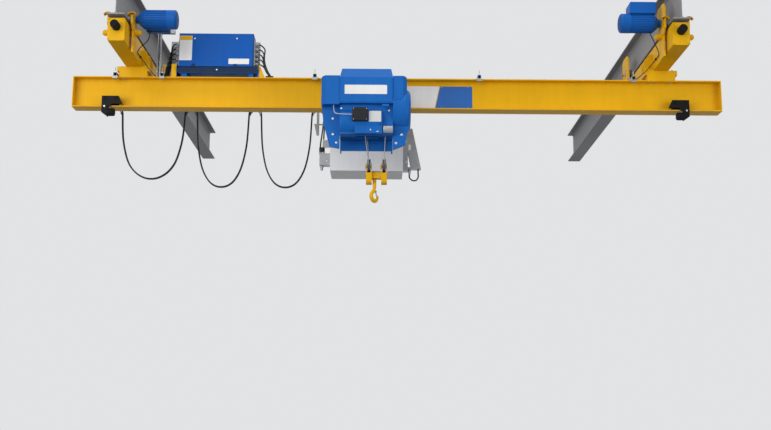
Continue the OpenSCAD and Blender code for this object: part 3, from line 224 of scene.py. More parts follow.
LEAD_ONE = [(2.002, 0.8735, -0.949), (2.055, 0.8735, -0.927), (2.108, 0.8735, -0.949),
            (2.130, 0.870, -1.002), (2.138, 0.800, -1.150), (2.142, 0.650, -1.320), (2.148, 0.490, -1.450),
            (2.150, 0.455, -1.500), (2.150, 0.455, -1.540), (2.150, 0.455, -1.580)]
LEAD_TWO = [(2.002, 0.8465, -0.949), (2.055, 0.8465, -0.927), (2.108, 0.8465, -0.949),
            (2.131, 0.831, -1.002), (2.128, 0.720, -1.160), (2.124, 0.560, -1.330), (2.116, 0.470, -1.450),
            (2.114, 0.455, -1.500), (2.114, 0.455, -1.540), (2.114, 0.455, -1.580)]
MOTOR_LEFT = [(0.270, -0.500, -0.430), (0.262, -0.500, -0.460), (0.270, -0.500, -0.500),
              (0.240, -0.460, -0.560), (0.152, -0.420, -0.625), (0.108, -0.350, -0.655),
              (0.100, -0.240, -0.650), (0.104, -0.140, -0.655), (0.140, -0.110, -0.700),
              (0.190, -0.105, -0.770), (0.240, -0.080, -0.825), (0.265, -0.065, -0.832),
              (0.300, -0.080, -0.825)]
MOTOR_RIGHT = [(5.749, -0.600, -0.280), (5.749, -0.550, -0.280), (5.749, -0.500, -0.280),
               (5.774, -0.470, -0.360), (5.864, -0.440, -0.540), (5.916, -0.400, -0.640),
               (5.922, -0.300, -0.652), (5.922, -0.200, -0.650), (5.914, -0.130, -0.665),
               (5.864, -0.110, -0.720), (5.794, -0.100, -0.790), (5.754, -0.060, -0.815),
               (5.724, -0.060, -0.823), (5.684, -0.060, -0.815)]
SWITCH_LEAD = [(2.316, -0.618, -1.290), (2.314, -0.610, -1.331), (2.316, -0.618, -1.372),
               (2.332, -0.640, -1.430), (2.400, -0.668, -1.450), (2.460, -0.672, -1.454),
               (2.517, -0.672, -1.454), (2.570, -0.672, -1.454)]
TROUGH_LEAD = [(3.166, 0.455, -1.790), (3.166, 0.455, -1.833), (3.166, 0.455, -1.870),
               (3.195, 0.452, -1.904), (3.240, 0.450, -1.908), (3.268, 0.450, -1.870),
               (3.268, 0.450, -1.820), (3.268, 0.450, -1.776), (3.268, 0.450, -1.740)]

# How far along the trolley's travel each festoon carrier goes
CARRIER_SHARE = (0.385, 0.70)
CARRIER_X = (0.498, 1.283)
CLAMP_X = -0.420
TOW_X = 2.055


# Shapes. Each holds its vertices, the corners of its faces in a row, and how many corners each face has,
# so that shapes can be joined before they become a piece.

def axes_along(direction):
    """Two unit vectors square to a direction, and the direction itself, right-handed."""
    d = np.asarray(direction, float)
    d = d / np.linalg.norm(d)
    up = np.array([0.0, 0.0, 1.0]) if abs(d[2]) < 0.9 else np.array([0.0, 1.0, 0.0])
    side = np.cross(up, d)
    side = side / np.linalg.norm(side)
    return side, np.cross(d, side), d


def loft(rings):
    """Quads between rings of equal count, an m by n by 3 array, with both ends closed."""
    rings = np.asarray(rings, float)
    m, n = rings.shape[:2]
    start = np.arange(m - 1)[:, None] * n
    k = np.arange(n)[None, :]
    after = (k + 1) % n
    quads = np.stack([start + k, start + after, start + n + after, start + n + k], -1).ravel()
    ends = np.arange(n)[::-1], (m - 1) * n + np.arange(n)
    sizes = np.r_[np.full((m - 1) * n, 4), n, n]
    return rings.reshape(-1, 3), np.concatenate([quads, *ends]), sizes


def join(*shapes):
    """Several shapes as one: each one's corners count on from the vertices before it."""
    counts = np.cumsum([0] + [len(s[0]) for s in shapes[:-1]])
    return (np.vstack([s[0] for s in shapes]),
            np.concatenate([s[1] + c for s, c in zip(shapes, counts)]),
            np.concatenate([s[2] for s in shapes]))


def circle(n, radius, side, up):
    """n points on a circle: the radius times cos a on one unit vector and times sin a on another."""
    a = np.arange(n) * 2 * math.pi / n
    return radius * (np.cos(a)[:, None] * side + np.sin(a)[:, None] * up)


def turned(profile, at, direction, n=32):
    """Revolved piece: a circle of each (radius, height) of the profile, along the direction from a point."""
    side, up, d = axes_along(direction)
    at = np.asarray(at, float)
    return loft([at + h * d + circle(n, r, side, up) for r, h in profile])


def brick(low, high):
    """Box between two corners."""
    (x0, y0, z0), (x1, y1, z1) = low, high
    ring = np.array([(x0, y0), (x1, y0), (x1, y1), (x0, y1)])
    return loft([np.column_stack([ring, np.full(4, z)]) for z in (z0, z1)])


def slab(outline, axis, low, high):
    """Prism: an outline in the plane square to an axis, x, y or z, drawn out along it from low to high."""
    o = np.asarray(outline, float)
    place = {"x": (1, 2, 0), "y": (0, 2, 1), "z": (0, 1, 2)}[axis]
    rings = []
    for level in (low, high):
        ring = np.zeros((len(o), 3))
        ring[:, place[0]] = o[:, 0]
        ring[:, place[1]] = o[:, 1]
        ring[:, place[2]] = level
        rings.append(ring)
    return loft(rings)


def rounded(x0, z0, x1, z1, r):
    """Rectangle with a quarter circle of five points at each corner, as an outline that runs round once."""
    a = np.linspace(0, math.pi / 2, 5)
    points = []
    for cx, cz, turn in ((x1 - r, z1 - r, 0), (x0 + r, z1 - r, 1), (x0 + r, z0 + r, 2), (x1 - r, z0 + r, 3)):
        t = a + turn * math.pi / 2
        points.append(np.column_stack([cx + r * np.cos(t), cz + r * np.sin(t)]))
    return np.vstack(points)


def tube(path, radius, n=10):
    """Round tube along a path: each ring's frame is the last one's, turned as little as the path turns."""
    p = np.asarray(path, float)
    heading = np.gradient(p, axis=0)
    heading /= np.linalg.norm(heading, axis=1)[:, None]
    side = axes_along(heading[0])[0]
    rings = []
    for point, d in zip(p, heading):
        side = side - (side @ d) * d
        side /= np.linalg.norm(side)
        rings.append(point + circle(n, radius, side, np.cross(d, side)))
    return loft(rings)


def turned_ring(profile, at, direction, n=32):
    """Closed profile of (radius, height) corners, turned about the direction: a torus of flat faces."""
    side, up, d = axes_along(direction)
    p = np.asarray(profile, float)
    a = np.arange(n) * 2 * math.pi / n
    spoke = np.cos(a)[:, None] * side + np.sin(a)[:, None] * up
    verts = np.asarray(at, float) + p[:, 0][:, None, None] * spoke + p[:, 1][:, None, None] * d
    m = len(p)
    i, k = np.meshgrid(np.arange(m), np.arange(n), indexing="ij")
    i2, k2 = (i + 1) % m, (k + 1) % n
    quads = np.stack([i * n + k, i * n + k2, i2 * n + k2, i2 * n + k], -1).ravel()
    return verts.reshape(-1, 3), quads, np.full(m * n, 4)


def stamped(shape, places):
    """Copies of a shape made along Z at the origin: places lists (point, direction) pairs."""
    verts, corners, sizes = shape
    copies = []
    for at, direction in places:
        copies.append((np.asarray(at, float) + verts @ np.stack(axes_along(direction)), corners, sizes))
    return join(*copies)


def bolt(size, washer=True):
    """Hexagon bolt head along Z with a chamfer, in proportion to the thread's diameter, which is size."""
    corner, tall, base = size * 0.92, size * 0.65, 0.0
    shapes = []
    if washer:
        wide, rim, base = size * 1.1, size * 1.02, size * 0.16
        shapes.append(turned([(wide, 0), (wide, base * 0.8), (rim, base)], ORIGIN, UP, 18))
    head = [(corner, base), (corner, base + tall * 0.85), (corner * 0.88, base + tall)]
    shapes.append(turned(head, ORIGIN, UP, 6))
    return join(*shapes)


def smooth(path, times):
    """The four-point rule: a point is put between each two, at (9 (a + b) - before - after) / 16."""
    p = np.asarray(path, float)
    for _ in range(times):
        wide = np.vstack([p[:1], p, p[-1:]])
        between = (9 * (p[:-1] + p[1:]) - wide[:-3] - wide[3:]) / 16
        out = np.empty((len(p) * 2 - 1, 3))
        out[0::2] = p
        out[1::2] = between
        p = out
    return p


def cord_path(route):
    """A cord's centreline: its route smoothed three times, without the outermost stretches, and cut back a
    little at both ends."""
    p = np.asarray(route, float)
    times = 3
    steps = 2 ** times
    line = smooth(p, times)[steps:-steps]
    first = (p[2] - p[0]) / np.linalg.norm(p[2] - p[0])
    last = (p[-1] - p[-3]) / np.linalg.norm(p[-1] - p[-3])
    line[0] = p[1] + CORD_END * first
    line[-1] = p[-2] - CORD_END * last
    return line


def bundle_x(side, z):
    """Where a bundle of the control box's cables hangs at a height: straight between its measured places."""
    heights, places = BUNDLES[side]
    return np.interp(z, heights, places)


# Pieces

def piece(name, shape, material, body=None, sharp=35.0, stands_for=()):
    """Makes an object of a shape, at the origin, that rides on a body and may stand for CAD nodes."""
    verts, corners, sizes = shape
    mesh = bpy.data.meshes.new(name)
    mesh.vertices.add(len(verts))
    mesh.vertices.foreach_set("co", verts.ravel())
    mesh.loops.add(len(corners))
    mesh.loops.foreach_set("vertex_index", corners)
    mesh.polygons.add(len(sizes))
    mesh.polygons.foreach_set("loop_start", np.cumsum(sizes) - sizes)
    mesh.update(calc_edges=True)
    work = bmesh.new()
    work.from_mesh(mesh)
    bmesh.ops.recalc_face_normals(work, faces=work.faces)
    work.to_mesh(mesh)
    work.free()
    mesh.shade_smooth()
    mesh.set_sharp_from_angle(angle=math.radians(sharp))
    mesh.materials.append(MATERIALS[material])
    obj = bpy.data.objects.new(name, mesh)
    bpy.context.collection.objects.link(obj)
    if stands_for:
        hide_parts(*stands_for)
    if body:
        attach(obj, body)
    return obj


# Materials

MATERIALS = {}

# Which material each CAD node shows
NODE_PAINT = {
    "runway": ("runway_left", "runway_right"),
    "yellow": ("main_girder", "end_carriages", "wheel_yokes", "yoke_spindles", "saddles", "bottom_block",
               "hook"),
    "drive": ("travel_drives",),
    "box": ("control_box", "control_box_door"),
    "tray": ("control_box_tray",),
    "blue": ("trolley_side_plates", "hoist_housing", "hoist_left_cover", "hoist_right_cover", "drum_cover",
             "hoist_body", "rope_skirt"),
    "zinc": ("cable_glands", "rail_arms", "cable_rail", "supply_post", "rear_box_glands", "tow_arm",
             "hook_latch"),
    "black": ("end_stops",),
    "rubber": ("carriage_buffers", "end_stop_buffers"),
    "plastic": ("limit_switch_box", "festoon_clamp", "festoon_carrier_one", "festoon_carrier_two"),
    "cast": ("wheels_left_front", "wheels_left_rear", "wheels_right_front", "wheels_right_rear",
             "trolley_wheels_left", "trolley_wheels_right"),
    "bar": ("trolley_cross_bars", "rope_drum"),
    "grey": ("rear_box",),
    "sheave": ("sheave_one", "sheave_two"),
}


def group(name, inputs, outputs):
    """A shader node group with named sockets, and its input and output nodes."""
    tree = bpy.data.node_groups.new(name, "ShaderNodeTree")
    for label, kind, value in inputs:
        socket = tree.interface.new_socket(label, in_out="INPUT", socket_type=kind)
        socket.default_value = value
    for label, kind in outputs:
        tree.interface.new_socket(label, in_out="OUTPUT", socket_type=kind)
    return tree, tree.nodes.new("NodeGroupInput"), tree.nodes.new("NodeGroupOutput")


def feed(tree, socket, value):
    """Links a socket to another one, or sets its number or colour."""
    if isinstance(value, bpy.types.NodeSocket):
        tree.links.new(value, socket)
    else:
        socket.default_value = value


def math_node(tree, operation, a, b):
    """A Math node with sockets or numbers on its inputs. Gives back its output."""
    node = tree.nodes.new("ShaderNodeMath")
    node.operation = operation
    feed(tree, node.inputs[0], a)
    feed(tree, node.inputs[1], b)
    return node.outputs[0]


def noise(tree, vector, scale, detail, roughness=0.6):
    """A Noise Texture on a vector. Gives back its value."""
    node = tree.nodes.new("ShaderNodeTexNoise")
    tree.links.new(vector, node.inputs["Vector"])
    node.inputs["Scale"].default_value = scale
    node.inputs["Detail"].default_value = detail
    node.inputs["Roughness"].default_value = roughness
    return node.outputs[0]


def mix_color(tree, factor, a, b, blend="MIX"):
    """A Mix node for colours. Gives back its result."""
    node = tree.nodes.new("ShaderNodeMix")
    node.data_type = "RGBA"
    node.blend_type = blend
    for socket, value in zip((node.inputs[0], node.inputs[6], node.inputs[7]), (factor, a, b)):
        feed(tree, socket, value)
    return node.outputs[2]


def scale_color(tree, color, factor):
    """A colour times a number, both from sockets. Gives back the result."""
    node = tree.nodes.new("ShaderNodeVectorMath")
    node.operation = "SCALE"
    tree.links.new(color, node.inputs[0])
    tree.links.new(factor, node.inputs["Scale"])
    return node.outputs[0]


def spread(tree, value, low, high, out_low, out_high):
    """Maps a value from low..high to out_low..out_high, held at both ends."""
    node = tree.nodes.new("ShaderNodeMapRange")
    tree.links.new(value, node.inputs[0])
    for i, v in enumerate((low, high, out_low, out_high)):
        node.inputs[i + 1].default_value = v
    return node.outputs[0]


def worn_normal(tree, edge, height, strength, distance):
    """A normal that rounds edges by a radius and rises and falls with a fine height."""
    bevel = tree.nodes.new("ShaderNodeBevel")
    bevel.samples = 4
    tree.links.new(edge, bevel.inputs["Radius"])
    bump = tree.nodes.new("ShaderNodeBump")
    bump.inputs["Strength"].default_value = strength
    bump.inputs["Distance"].default_value = distance
    tree.links.new(height, bump.inputs["Height"])
    tree.links.new(bevel.outputs[0], bump.inputs["Normal"])
    return bump.outputs[0]


def paint_group():
    """Satin paint: a cloudy tone, thin streaks that run down, dust and painted shade in corners and a faint
    orange peel.
    """
    tree, inp, out = group(
        "Satin paint",
        [("Color", "NodeSocketColor", (0.8, 0.8, 0.8, 1)), ("Dust and shade", "NodeSocketFloat", 0.3),
         ("Roughness", "NodeSocketFloat", 0.4), ("Edge", "NodeSocketFloat", 0.003)],
        [("Color", "NodeSocketColor"), ("Roughness", "NodeSocketFloat"), ("Normal", "NodeSocketVector")])
    coord = tree.nodes.new("ShaderNodeTexCoord").outputs["Object"]
    stretch = tree.nodes.new("ShaderNodeMapping")
    stretch.inputs["Scale"].default_value = (9.0, 9.0, 0.8)
    tree.links.new(coord, stretch.inputs["Vector"])
    cloud = noise(tree, coord, 1.6, 5.0)
    streak = noise(tree, stretch.outputs[0], 2.0, 4.0)
    peel = noise(tree, coord, 420.0, 2.0, 0.5)
    # Ambient occlusion darkens and browns the colour near other surfaces: corner dust together with painted
    # shade in corners, recesses and between parts.
    ao = tree.nodes.new("ShaderNodeAmbientOcclusion")
    ao.samples = 4
    ao.inputs["Distance"].default_value = 0.05
    corner = math_node(tree, "SUBTRACT", 1.0, ao.outputs["AO"])
    tone = math_node(tree, "ADD", spread(tree, cloud, 0.3, 0.7, 0.93, 1.05),
                     spread(tree, streak, 0.35, 0.8, 0.02, -0.05))
    clean = scale_color(tree, inp.outputs["Color"], tone)
    dusty_shaded = mix_color(tree, 1.0, clean, (0.45, 0.42, 0.38, 1), "MULTIPLY")
    amount = math_node(tree, "MULTIPLY", corner, inp.outputs["Dust and shade"])
    tree.links.new(mix_color(tree, amount, clean, dusty_shaded), out.inputs["Color"])
    rough = math_node(tree, "ADD", inp.outputs["Roughness"], spread(tree, cloud, 0.3, 0.7, -0.05, 0.08))
    tree.links.new(rough, out.inputs["Roughness"])
    tree.links.new(worn_normal(tree, inp.outputs["Edge"], peel, 0.06, 0.002), out.inputs["Normal"])
    return tree


def metal_group():
    """Zinc or bare steel: crystal patches of slightly different brightness, fine scratches and soft edges."""
    tree, inp, out = group(
        "Bare metal",
        [("Color", "NodeSocketColor", (0.6, 0.6, 0.6, 1)), ("Roughness", "NodeSocketFloat", 0.4),
         ("Patch", "NodeSocketFloat", 60.0), ("Edge", "NodeSocketFloat", 0.0015)],
        [("Color", "NodeSocketColor"), ("Roughness", "NodeSocketFloat"), ("Normal", "NodeSocketVector")])
    coord = tree.nodes.new("ShaderNodeTexCoord").outputs["Object"]
    cells = tree.nodes.new("ShaderNodeTexVoronoi")
    tree.links.new(coord, cells.inputs["Vector"])
    tree.links.new(inp.outputs["Patch"], cells.inputs["Scale"])
    cloud = noise(tree, coord, 6.0, 5.0)
    grain = noise(tree, coord, 300.0, 3.0)
    bright = math_node(tree, "ADD", spread(tree, cells.outputs["Color"], 0.0, 1.0, 0.88, 1.08),
                       spread(tree, cloud, 0.3, 0.7, -0.12, 0.06))
    tree.links.new(scale_color(tree, inp.outputs["Color"], bright), out.inputs["Color"])
    rough = math_node(tree, "ADD", inp.outputs["Roughness"], spread(tree, cloud, 0.3, 0.7, -0.06, 0.12))
    tree.links.new(rough, out.inputs["Roughness"])
    tree.links.new(worn_normal(tree, inp.outputs["Edge"], grain, 0.08, 0.001), out.inputs["Normal"])
    return tree


def surface(name, kind, color, roughness, metallic=0.0, extra=None, specular=0.5):
    """A material that takes colour, roughness and normal from one of the two groups."""
    mat = bpy.data.materials.new(name)
    mat.use_nodes = True
    tree = mat.node_tree
    shader = tree.nodes["Principled BSDF"]
    shader.inputs["Metallic"].default_value = metallic
    shader.inputs["Specular IOR Level"].default_value = specular
    node = tree.nodes.new("ShaderNodeGroup")
    node.node_tree = kind
    node.inputs["Color"].default_value = (*color, 1)
    node.inputs["Roughness"].default_value = roughness
    for key, value in (extra or {}).items():
        node.inputs[key].default_value = value
    tree.links.new(node.outputs["Color"], shader.inputs["Base Color"])
    tree.links.new(node.outputs["Roughness"], shader.inputs["Roughness"])
    tree.links.new(node.outputs["Normal"], shader.inputs["Normal"])
    mat.diffuse_color = (*color, 1)
    return mat


def tray_paint(kind, blue, yellow):
    """Blue paint on the tray between its ends, yellow on the feet past them, told apart by place."""
    mat = surface("Tray paint", kind, blue, 0.38, specular=PAINT_GLOSS)
    tree = mat.node_tree
    place = tree.nodes.new("ShaderNodeSeparateXYZ")
    tree.links.new(tree.nodes.new("ShaderNodeTexCoord").outputs["Object"], place.inputs[0])
    left = math_node(tree, "LESS_THAN", place.outputs[0], TRAY_X[0] - 0.0005)
    right = math_node(tree, "GREATER_THAN", place.outputs[0], TRAY_X[1] + 0.0005)
    feet = math_node(tree, "MAXIMUM", left, right)
    paint = next(n for n in tree.nodes if n.type == "GROUP")
    tree.links.new(mix_color(tree, feet, (*blue, 1), (*yellow, 1)), paint.inputs["Color"])
    return mat


def color_property(name, description, default):
    """A colour that a user may change."""
    return FloatVectorProperty(name=name, description=description, subtype="COLOR", size=3, min=0, max=1,
                               default=default)


class CraneLook(bpy.types.PropertyGroup):
    """Sizes and colours of the crane's dressing."""
    yellow: color_property("Crane yellow", "Paint of the girder, carriages and block", (0.79, 0.43, 0.006))
    blue: color_property("Hoist blue", "Paint of the hoist unit", (0.010, 0.130, 0.470))
    box_blue: color_property("Box blue", "Paint of the control box", (0.003, 0.095, 0.420))
    drive_blue: color_property("Drive blue", "Paint of the travel drives", (0.008, 0.110, 0.430))
    box_grey: color_property("Box grey", "Paint of the rear box", (0.75, 0.755, 0.77))
    runway_grey: color_property("Runway grey", "Paint of the runway girders", (0.27, 0.27, 0.275))
    backdrop: color_property("Backdrop", "Colour of the floor", (0.64, 0.65, 0.66))
    cable_width: FloatProperty(name="Cable width", description="Diameter of a festoon cable", unit="LENGTH",
                               default=2 * CABLE_R, min=0.012, max=0.024)
    strand_pitch: FloatProperty(name="Strand pitch", description="Length of one turn of a rope strand",
                                unit="LENGTH", default=0.055, min=0.03, max=0.1)


def look():
    """The sizes and colours that the user may change."""
    return bpy.context.scene.crane_look


class CRANE_OT_camera(bpy.types.Operator):
    """Sets the camera that fits the photograph."""
    bl_idname = "crane.camera"
    bl_label = "Camera"

    def execute(self, context):
        data = bpy.data.cameras.new("Camera")
        data.sensor_width = SENSOR_MM
        data.lens = SENSOR_MM * FOCAL_PX / PHOTO_WIDTH
        data.shift_x, data.shift_y = CAMERA_SHIFT
        camera = bpy.data.objects.new("Camera", data)
        camera.location = CAMERA_AT
        camera.rotation_euler = CAMERA_TURN
        context.collection.objects.link(camera)
        context.scene.camera = camera
        context.scene.view_settings.view_transform = "Standard"
        return {"FINISHED"}


class CRANE_OT_materials(bpy.types.Operator):
    """Makes the materials and gives them to the CAD nodes."""
    bl_idname = "crane.materials"
    bl_label = "Materials"

    def execute(self, context):
        chosen = look()
        paint, metal = paint_group(), metal_group()
        sheet, wire = {"Edge": 0.0005}, {"Edge": 0.0003}
        # Each paint's corner darkening is corner dust and painted shade in corners together.
        clean = {"Dust and shade": 0.1, "Edge": 0.0005}
        MATERIALS.update({
            "yellow": surface("Yellow paint", paint, chosen.yellow, 0.42, specular=PAINT_GLOSS),
            "blue": surface("Blue paint", paint, chosen.blue, 0.36, specular=PAINT_GLOSS),
            "box": surface("Box blue paint", paint, chosen.box_blue, 0.38, specular=PAINT_GLOSS),
            "drive": surface("Drive blue paint", paint, chosen.drive_blue, 0.40, specular=PAINT_GLOSS),
            "grey": surface("Box grey paint", paint, chosen.box_grey, 0.45, extra={"Dust and shade": 0.15},
                            specular=GREY_GLOSS),
            "runway": surface("Runway grey paint", paint, chosen.runway_grey, 0.55, specular=GREY_GLOSS),
            "black": surface("Black paint", paint, (0.006, 0.006, 0.007), 0.45, specular=PAINT_GLOSS),
            "white": surface("White plate", paint, (0.80, 0.80, 0.78), 0.35, extra=clean),
            "label": surface("Pale label", paint, (0.62, 0.63, 0.62), 0.4, extra=clean),
            "shade_blue": surface("Tray shade blue", paint, (0.004, 0.022, 0.060), 0.5, specular=0.2),
            "banner_blue": surface("Banner blue", paint, (0.01, 0.12, 0.45), 0.35, extra=sheet),
            "plastic": surface("Black plastic", paint, (0.010, 0.011, 0.013), 0.48, specular=0.25),
            "rubber": surface("Black rubber", paint, (0.006, 0.006, 0.007), 0.62, specular=PAINT_GLOSS),
            "sheath": surface("Cable sheath", paint, (0.009, 0.009, 0.010), 0.42, extra=wire,
                              specular=GREY_GLOSS),
            "grey_sheath": surface("Grey sheath", paint, (0.45, 0.46, 0.46), 0.45, extra=wire),
            "zinc": surface("Zinc", metal, (0.36, 0.37, 0.38), 0.42, 0.7),
            "steel": surface("Bright steel", metal, (0.62, 0.62, 0.61), 0.28, 1.0),
            "bar": surface("Turned bar", metal, (0.30, 0.31, 0.33), 0.34, 0.9),
            "cast": surface("Cast wheel", metal, (0.24, 0.23, 0.22), 0.46, 0.8),
            "sheave": surface("Dark sheave", metal, (0.07, 0.075, 0.08), 0.42, 0.6),
            "rope": surface("Wire rope", metal, (0.34, 0.34, 0.33), 0.40, 0.85, extra=wire),
            "tray": tray_paint(paint, chosen.box_blue, chosen.yellow),
        })
        for key, names in NODE_PAINT.items():
            for name in names:
                mesh = NODES[name].data
                mesh.materials.clear()
                mesh.materials.append(MATERIALS[key])
        return {"FINISHED"}


# Cables and ropes

def blend_place(share):
    """How far between its two ends a blend's weight, 3 t^2 - 2 t^3, has that share."""
    return 0.5 - math.sin(math.asin(1 - 2 * share) / 3)


def cable_clip(name, route, near):
    """A short black sleeve on a cable, where its route comes nearest to a place."""
    line = cord_path(route)
    k = int(np.argmin(np.linalg.norm(line - np.array(near), axis=1)))
    way = line[k + 1] - line[k - 1]
    way = way / np.linalg.norm(way)
    bore, lip, wide, half, flat = 0.0052, 0.010, 0.011, 0.014, 0.010
    profile = [(bore, -half), (lip, -half), (wide, -flat), (wide, flat), (lip, half), (bore, half)]
    return piece(name, turned_ring(profile, line[k], way, 20), "plastic", "bridge")


def cable_piece(name, route, radius, material, body, node, blend=None):
    """A cable along its route, in a CAD node's place if one is named. With blend it rides on no body."""
    line = cord_path(route)
    stands_for = (node,) if node else ()
    obj = piece(name, tube(line, radius, 12), material, None if blend else body, 60, stands_for)
    if blend:
        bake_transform(obj)
    return obj


class CRANE_OT_cables(bpy.types.Operator):
    """Makes the festoon loops, the leads and the thin cables along the CAD cords' routes."""
    bl_idname = "crane.cables"
    bl_label = "Cables"

    def execute(self, context):
        radius = look().cable_width / 2
        one, two = CARRIER_X
        # Loop two's end places are where a blend's weight would take the carriers' shares: they run past both
        # ends
        inner, outer = [blend_place(share) for share in CARRIER_SHARE]
        reach = (two - one) / (outer - inner)
        start = one - inner * reach
        loops = (("one", LOOP_ONE, ("bridge", "festoon_carrier_one"), (CLAMP_X, one)),
                 ("two", LOOP_TWO, ("bridge", "trolley"), (start, start + reach)),
                 ("three", LOOP_THREE, ("festoon_carrier_two", "trolley"), (two, TOW_X)))
        for label, route, bodies, ends in loops:
            bend = (*bodies, *[(x, RAIL_Y, -1) for x in ends])
            for side, dy in zip(("front", "back"), CABLE_PAIR):
                path = [(x, RAIL_Y + dy, z) for x, z in route]
                cable_piece(f"festoon_{label}_{side}", path, radius, "sheath", None, f"festoon_loop_{label}",
                            bend)
        for side, route in (("back", LEAD_ONE), ("front", LEAD_TWO)):
            cable_piece(f"lead_{side}", route, radius, "sheath", "trolley", "festoon_lead")
        for side, route, near in zip(("left", "right"), (MOTOR_LEFT, MOTOR_RIGHT), CLIP_PLACES):
            clip = cable_clip(f"cable_clip_{side}", route, near)
            cable_piece(f"motor_cable_{side}", route, THIN_R, "sheath", "bridge", "motor_cables")
        cable_piece("switch_lead", SWITCH_LEAD, THIN_R, "grey_sheath", "trolley", "switch_cable")
        cable_piece("trough_loop", TROUGH_LEAD, TROUGH_R, "sheath", "trolley", "trough_cable")
        return {"FINISHED"}


class CRANE_OT_ropes(bpy.types.Operator):
    """Makes the four rope falls, each of six strands. A strand's middle runs on a helix round the fall's own
    line, one turn for each strand pitch, and the line leans sideways in proportion to height."""
    bl_idname = "crane.ropes"
    bl_label = "Rope falls"

    def execute(self, context):
        z = np.linspace(FALL_TOP, SHEAVE_Z, 73)
        height = (z - SHEAVE_Z) / (FALL_TOP - SHEAVE_Z)
        lay = STRAND_PLACE * ROPE_R
        shapes = []
        for x, leans in zip(SHEAVE_X, FALL_LEANS):
            for side, lean in zip((-1, 1), leans):
                y = SHEAVE_Y + side * FALL_OFFSET
                for k in range(STRANDS):
                    a = 2 * math.pi * (z / look().strand_pitch + k / STRANDS)
                    path = np.column_stack([x + lean * height + lay * np.cos(a), y + lay * np.sin(a), z])
                    shapes.append(tube(path, ROPE_R - lay, 6))
        falls = piece("rope_falls_laid", join(*shapes), "rope", None, 70, ("rope_falls",))
        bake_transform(falls)
        return {"FINISHED"}


# Fasteners, plates and fittings

def front_bolts(size, y, spots, washer=True):
    """Bolt heads that face the camera, on the plane y, at (x, z) spots."""
    return stamped(bolt(size, washer), [((x, y, z), FRONT) for x, z in spots])


def front_of(node, x, z):
    """Where a CAD node's surface is first met from the camera's side at x and z, as y."""
    hit, point, _, _ = NODES[node].ray_cast((x, -3.0, z), BACK)
    if not hit:
        raise ValueError(f"{node} isn't met at {x}, {z}")
    return point.y


def bolts_on(node, size, spots):
    """Bolt heads on a CAD node's front, each at the depth of the surface under it."""
    return stamped(bolt(size), [((x, front_of(node, x, z), z), FRONT) for x, z in spots])


def pad(outline, r, y0, y1):
    """Flat block with rounded corners, an outline (x0, z0, x1, z1), between two levels of y."""
    return slab(rounded(*outline, r), "y", y0, y1)


def plate(outline, y, thick, r=0.004):
    """Flat plate with rounded corners whose back is on the plane y and whose face looks at the camera."""
    return pad(outline, r, y - thick, y)


def frame_strip(x0, z0, x1, z1, width, y0, y1):
    """Four bars that frame a rectangle, between two levels of y."""
    return join(brick((x0, y0, z0), (x1, y1, z0 + width)), brick((x0, y0, z1 - width), (x1, y1, z1)),
                brick((x0, y0, z0 + width), (x0 + width, y1, z1 - width)),
                brick((x1 - width, y0, z0 + width), (x1, y1, z1 - width)))


def four_about(x, dx, dy, z):
    """Four places about x and the girder's middle plane, at one height."""
    return [(x + sx * dx, sy * dy, z) for sx in (-1, 1) for sy in (-1, 1)]


class CRANE_OT_banner(bpy.types.Operator):
    """Makes the bare banner on the girder's web: a white field and two blue ends, with slanted seams."""
    bl_idname = "crane.banner"
    bl_label = "Girder banner"

    def execute(self, context):
        left, left_seam, right_seam, right = 2.19, 2.26, 3.44, 3.87
        top, bottom, back, front = -0.909, -1.168, -0.0042, -0.0065
        lean, seam, inset = 0.055, 0.008, 0.012
        fields = (("blue_left", (left, 0.0), (left_seam, lean), "banner_blue"),
                  ("white", (left_seam + seam, lean), (right_seam, lean), "white"),
                  ("blue_right", (right_seam + seam, lean), (right, 0.0), "banner_blue"))
        for label, (x0, lean0), (x1, lean1), material in fields:
            outline = [(x0, bottom), (x1, bottom), (x1 + lean1, top), (x0 + lean0, top)]
            piece(f"banner_{label}", slab(outline, "y", front, back), material, "bridge")
        pins = [(x, z) for x in BANNER_PIN_X for z in (bottom + inset, top - inset)]
        piece("banner_pins", front_bolts(0.005, front, pins, washer=False), "steel", "bridge")
        return {"FINISHED"}


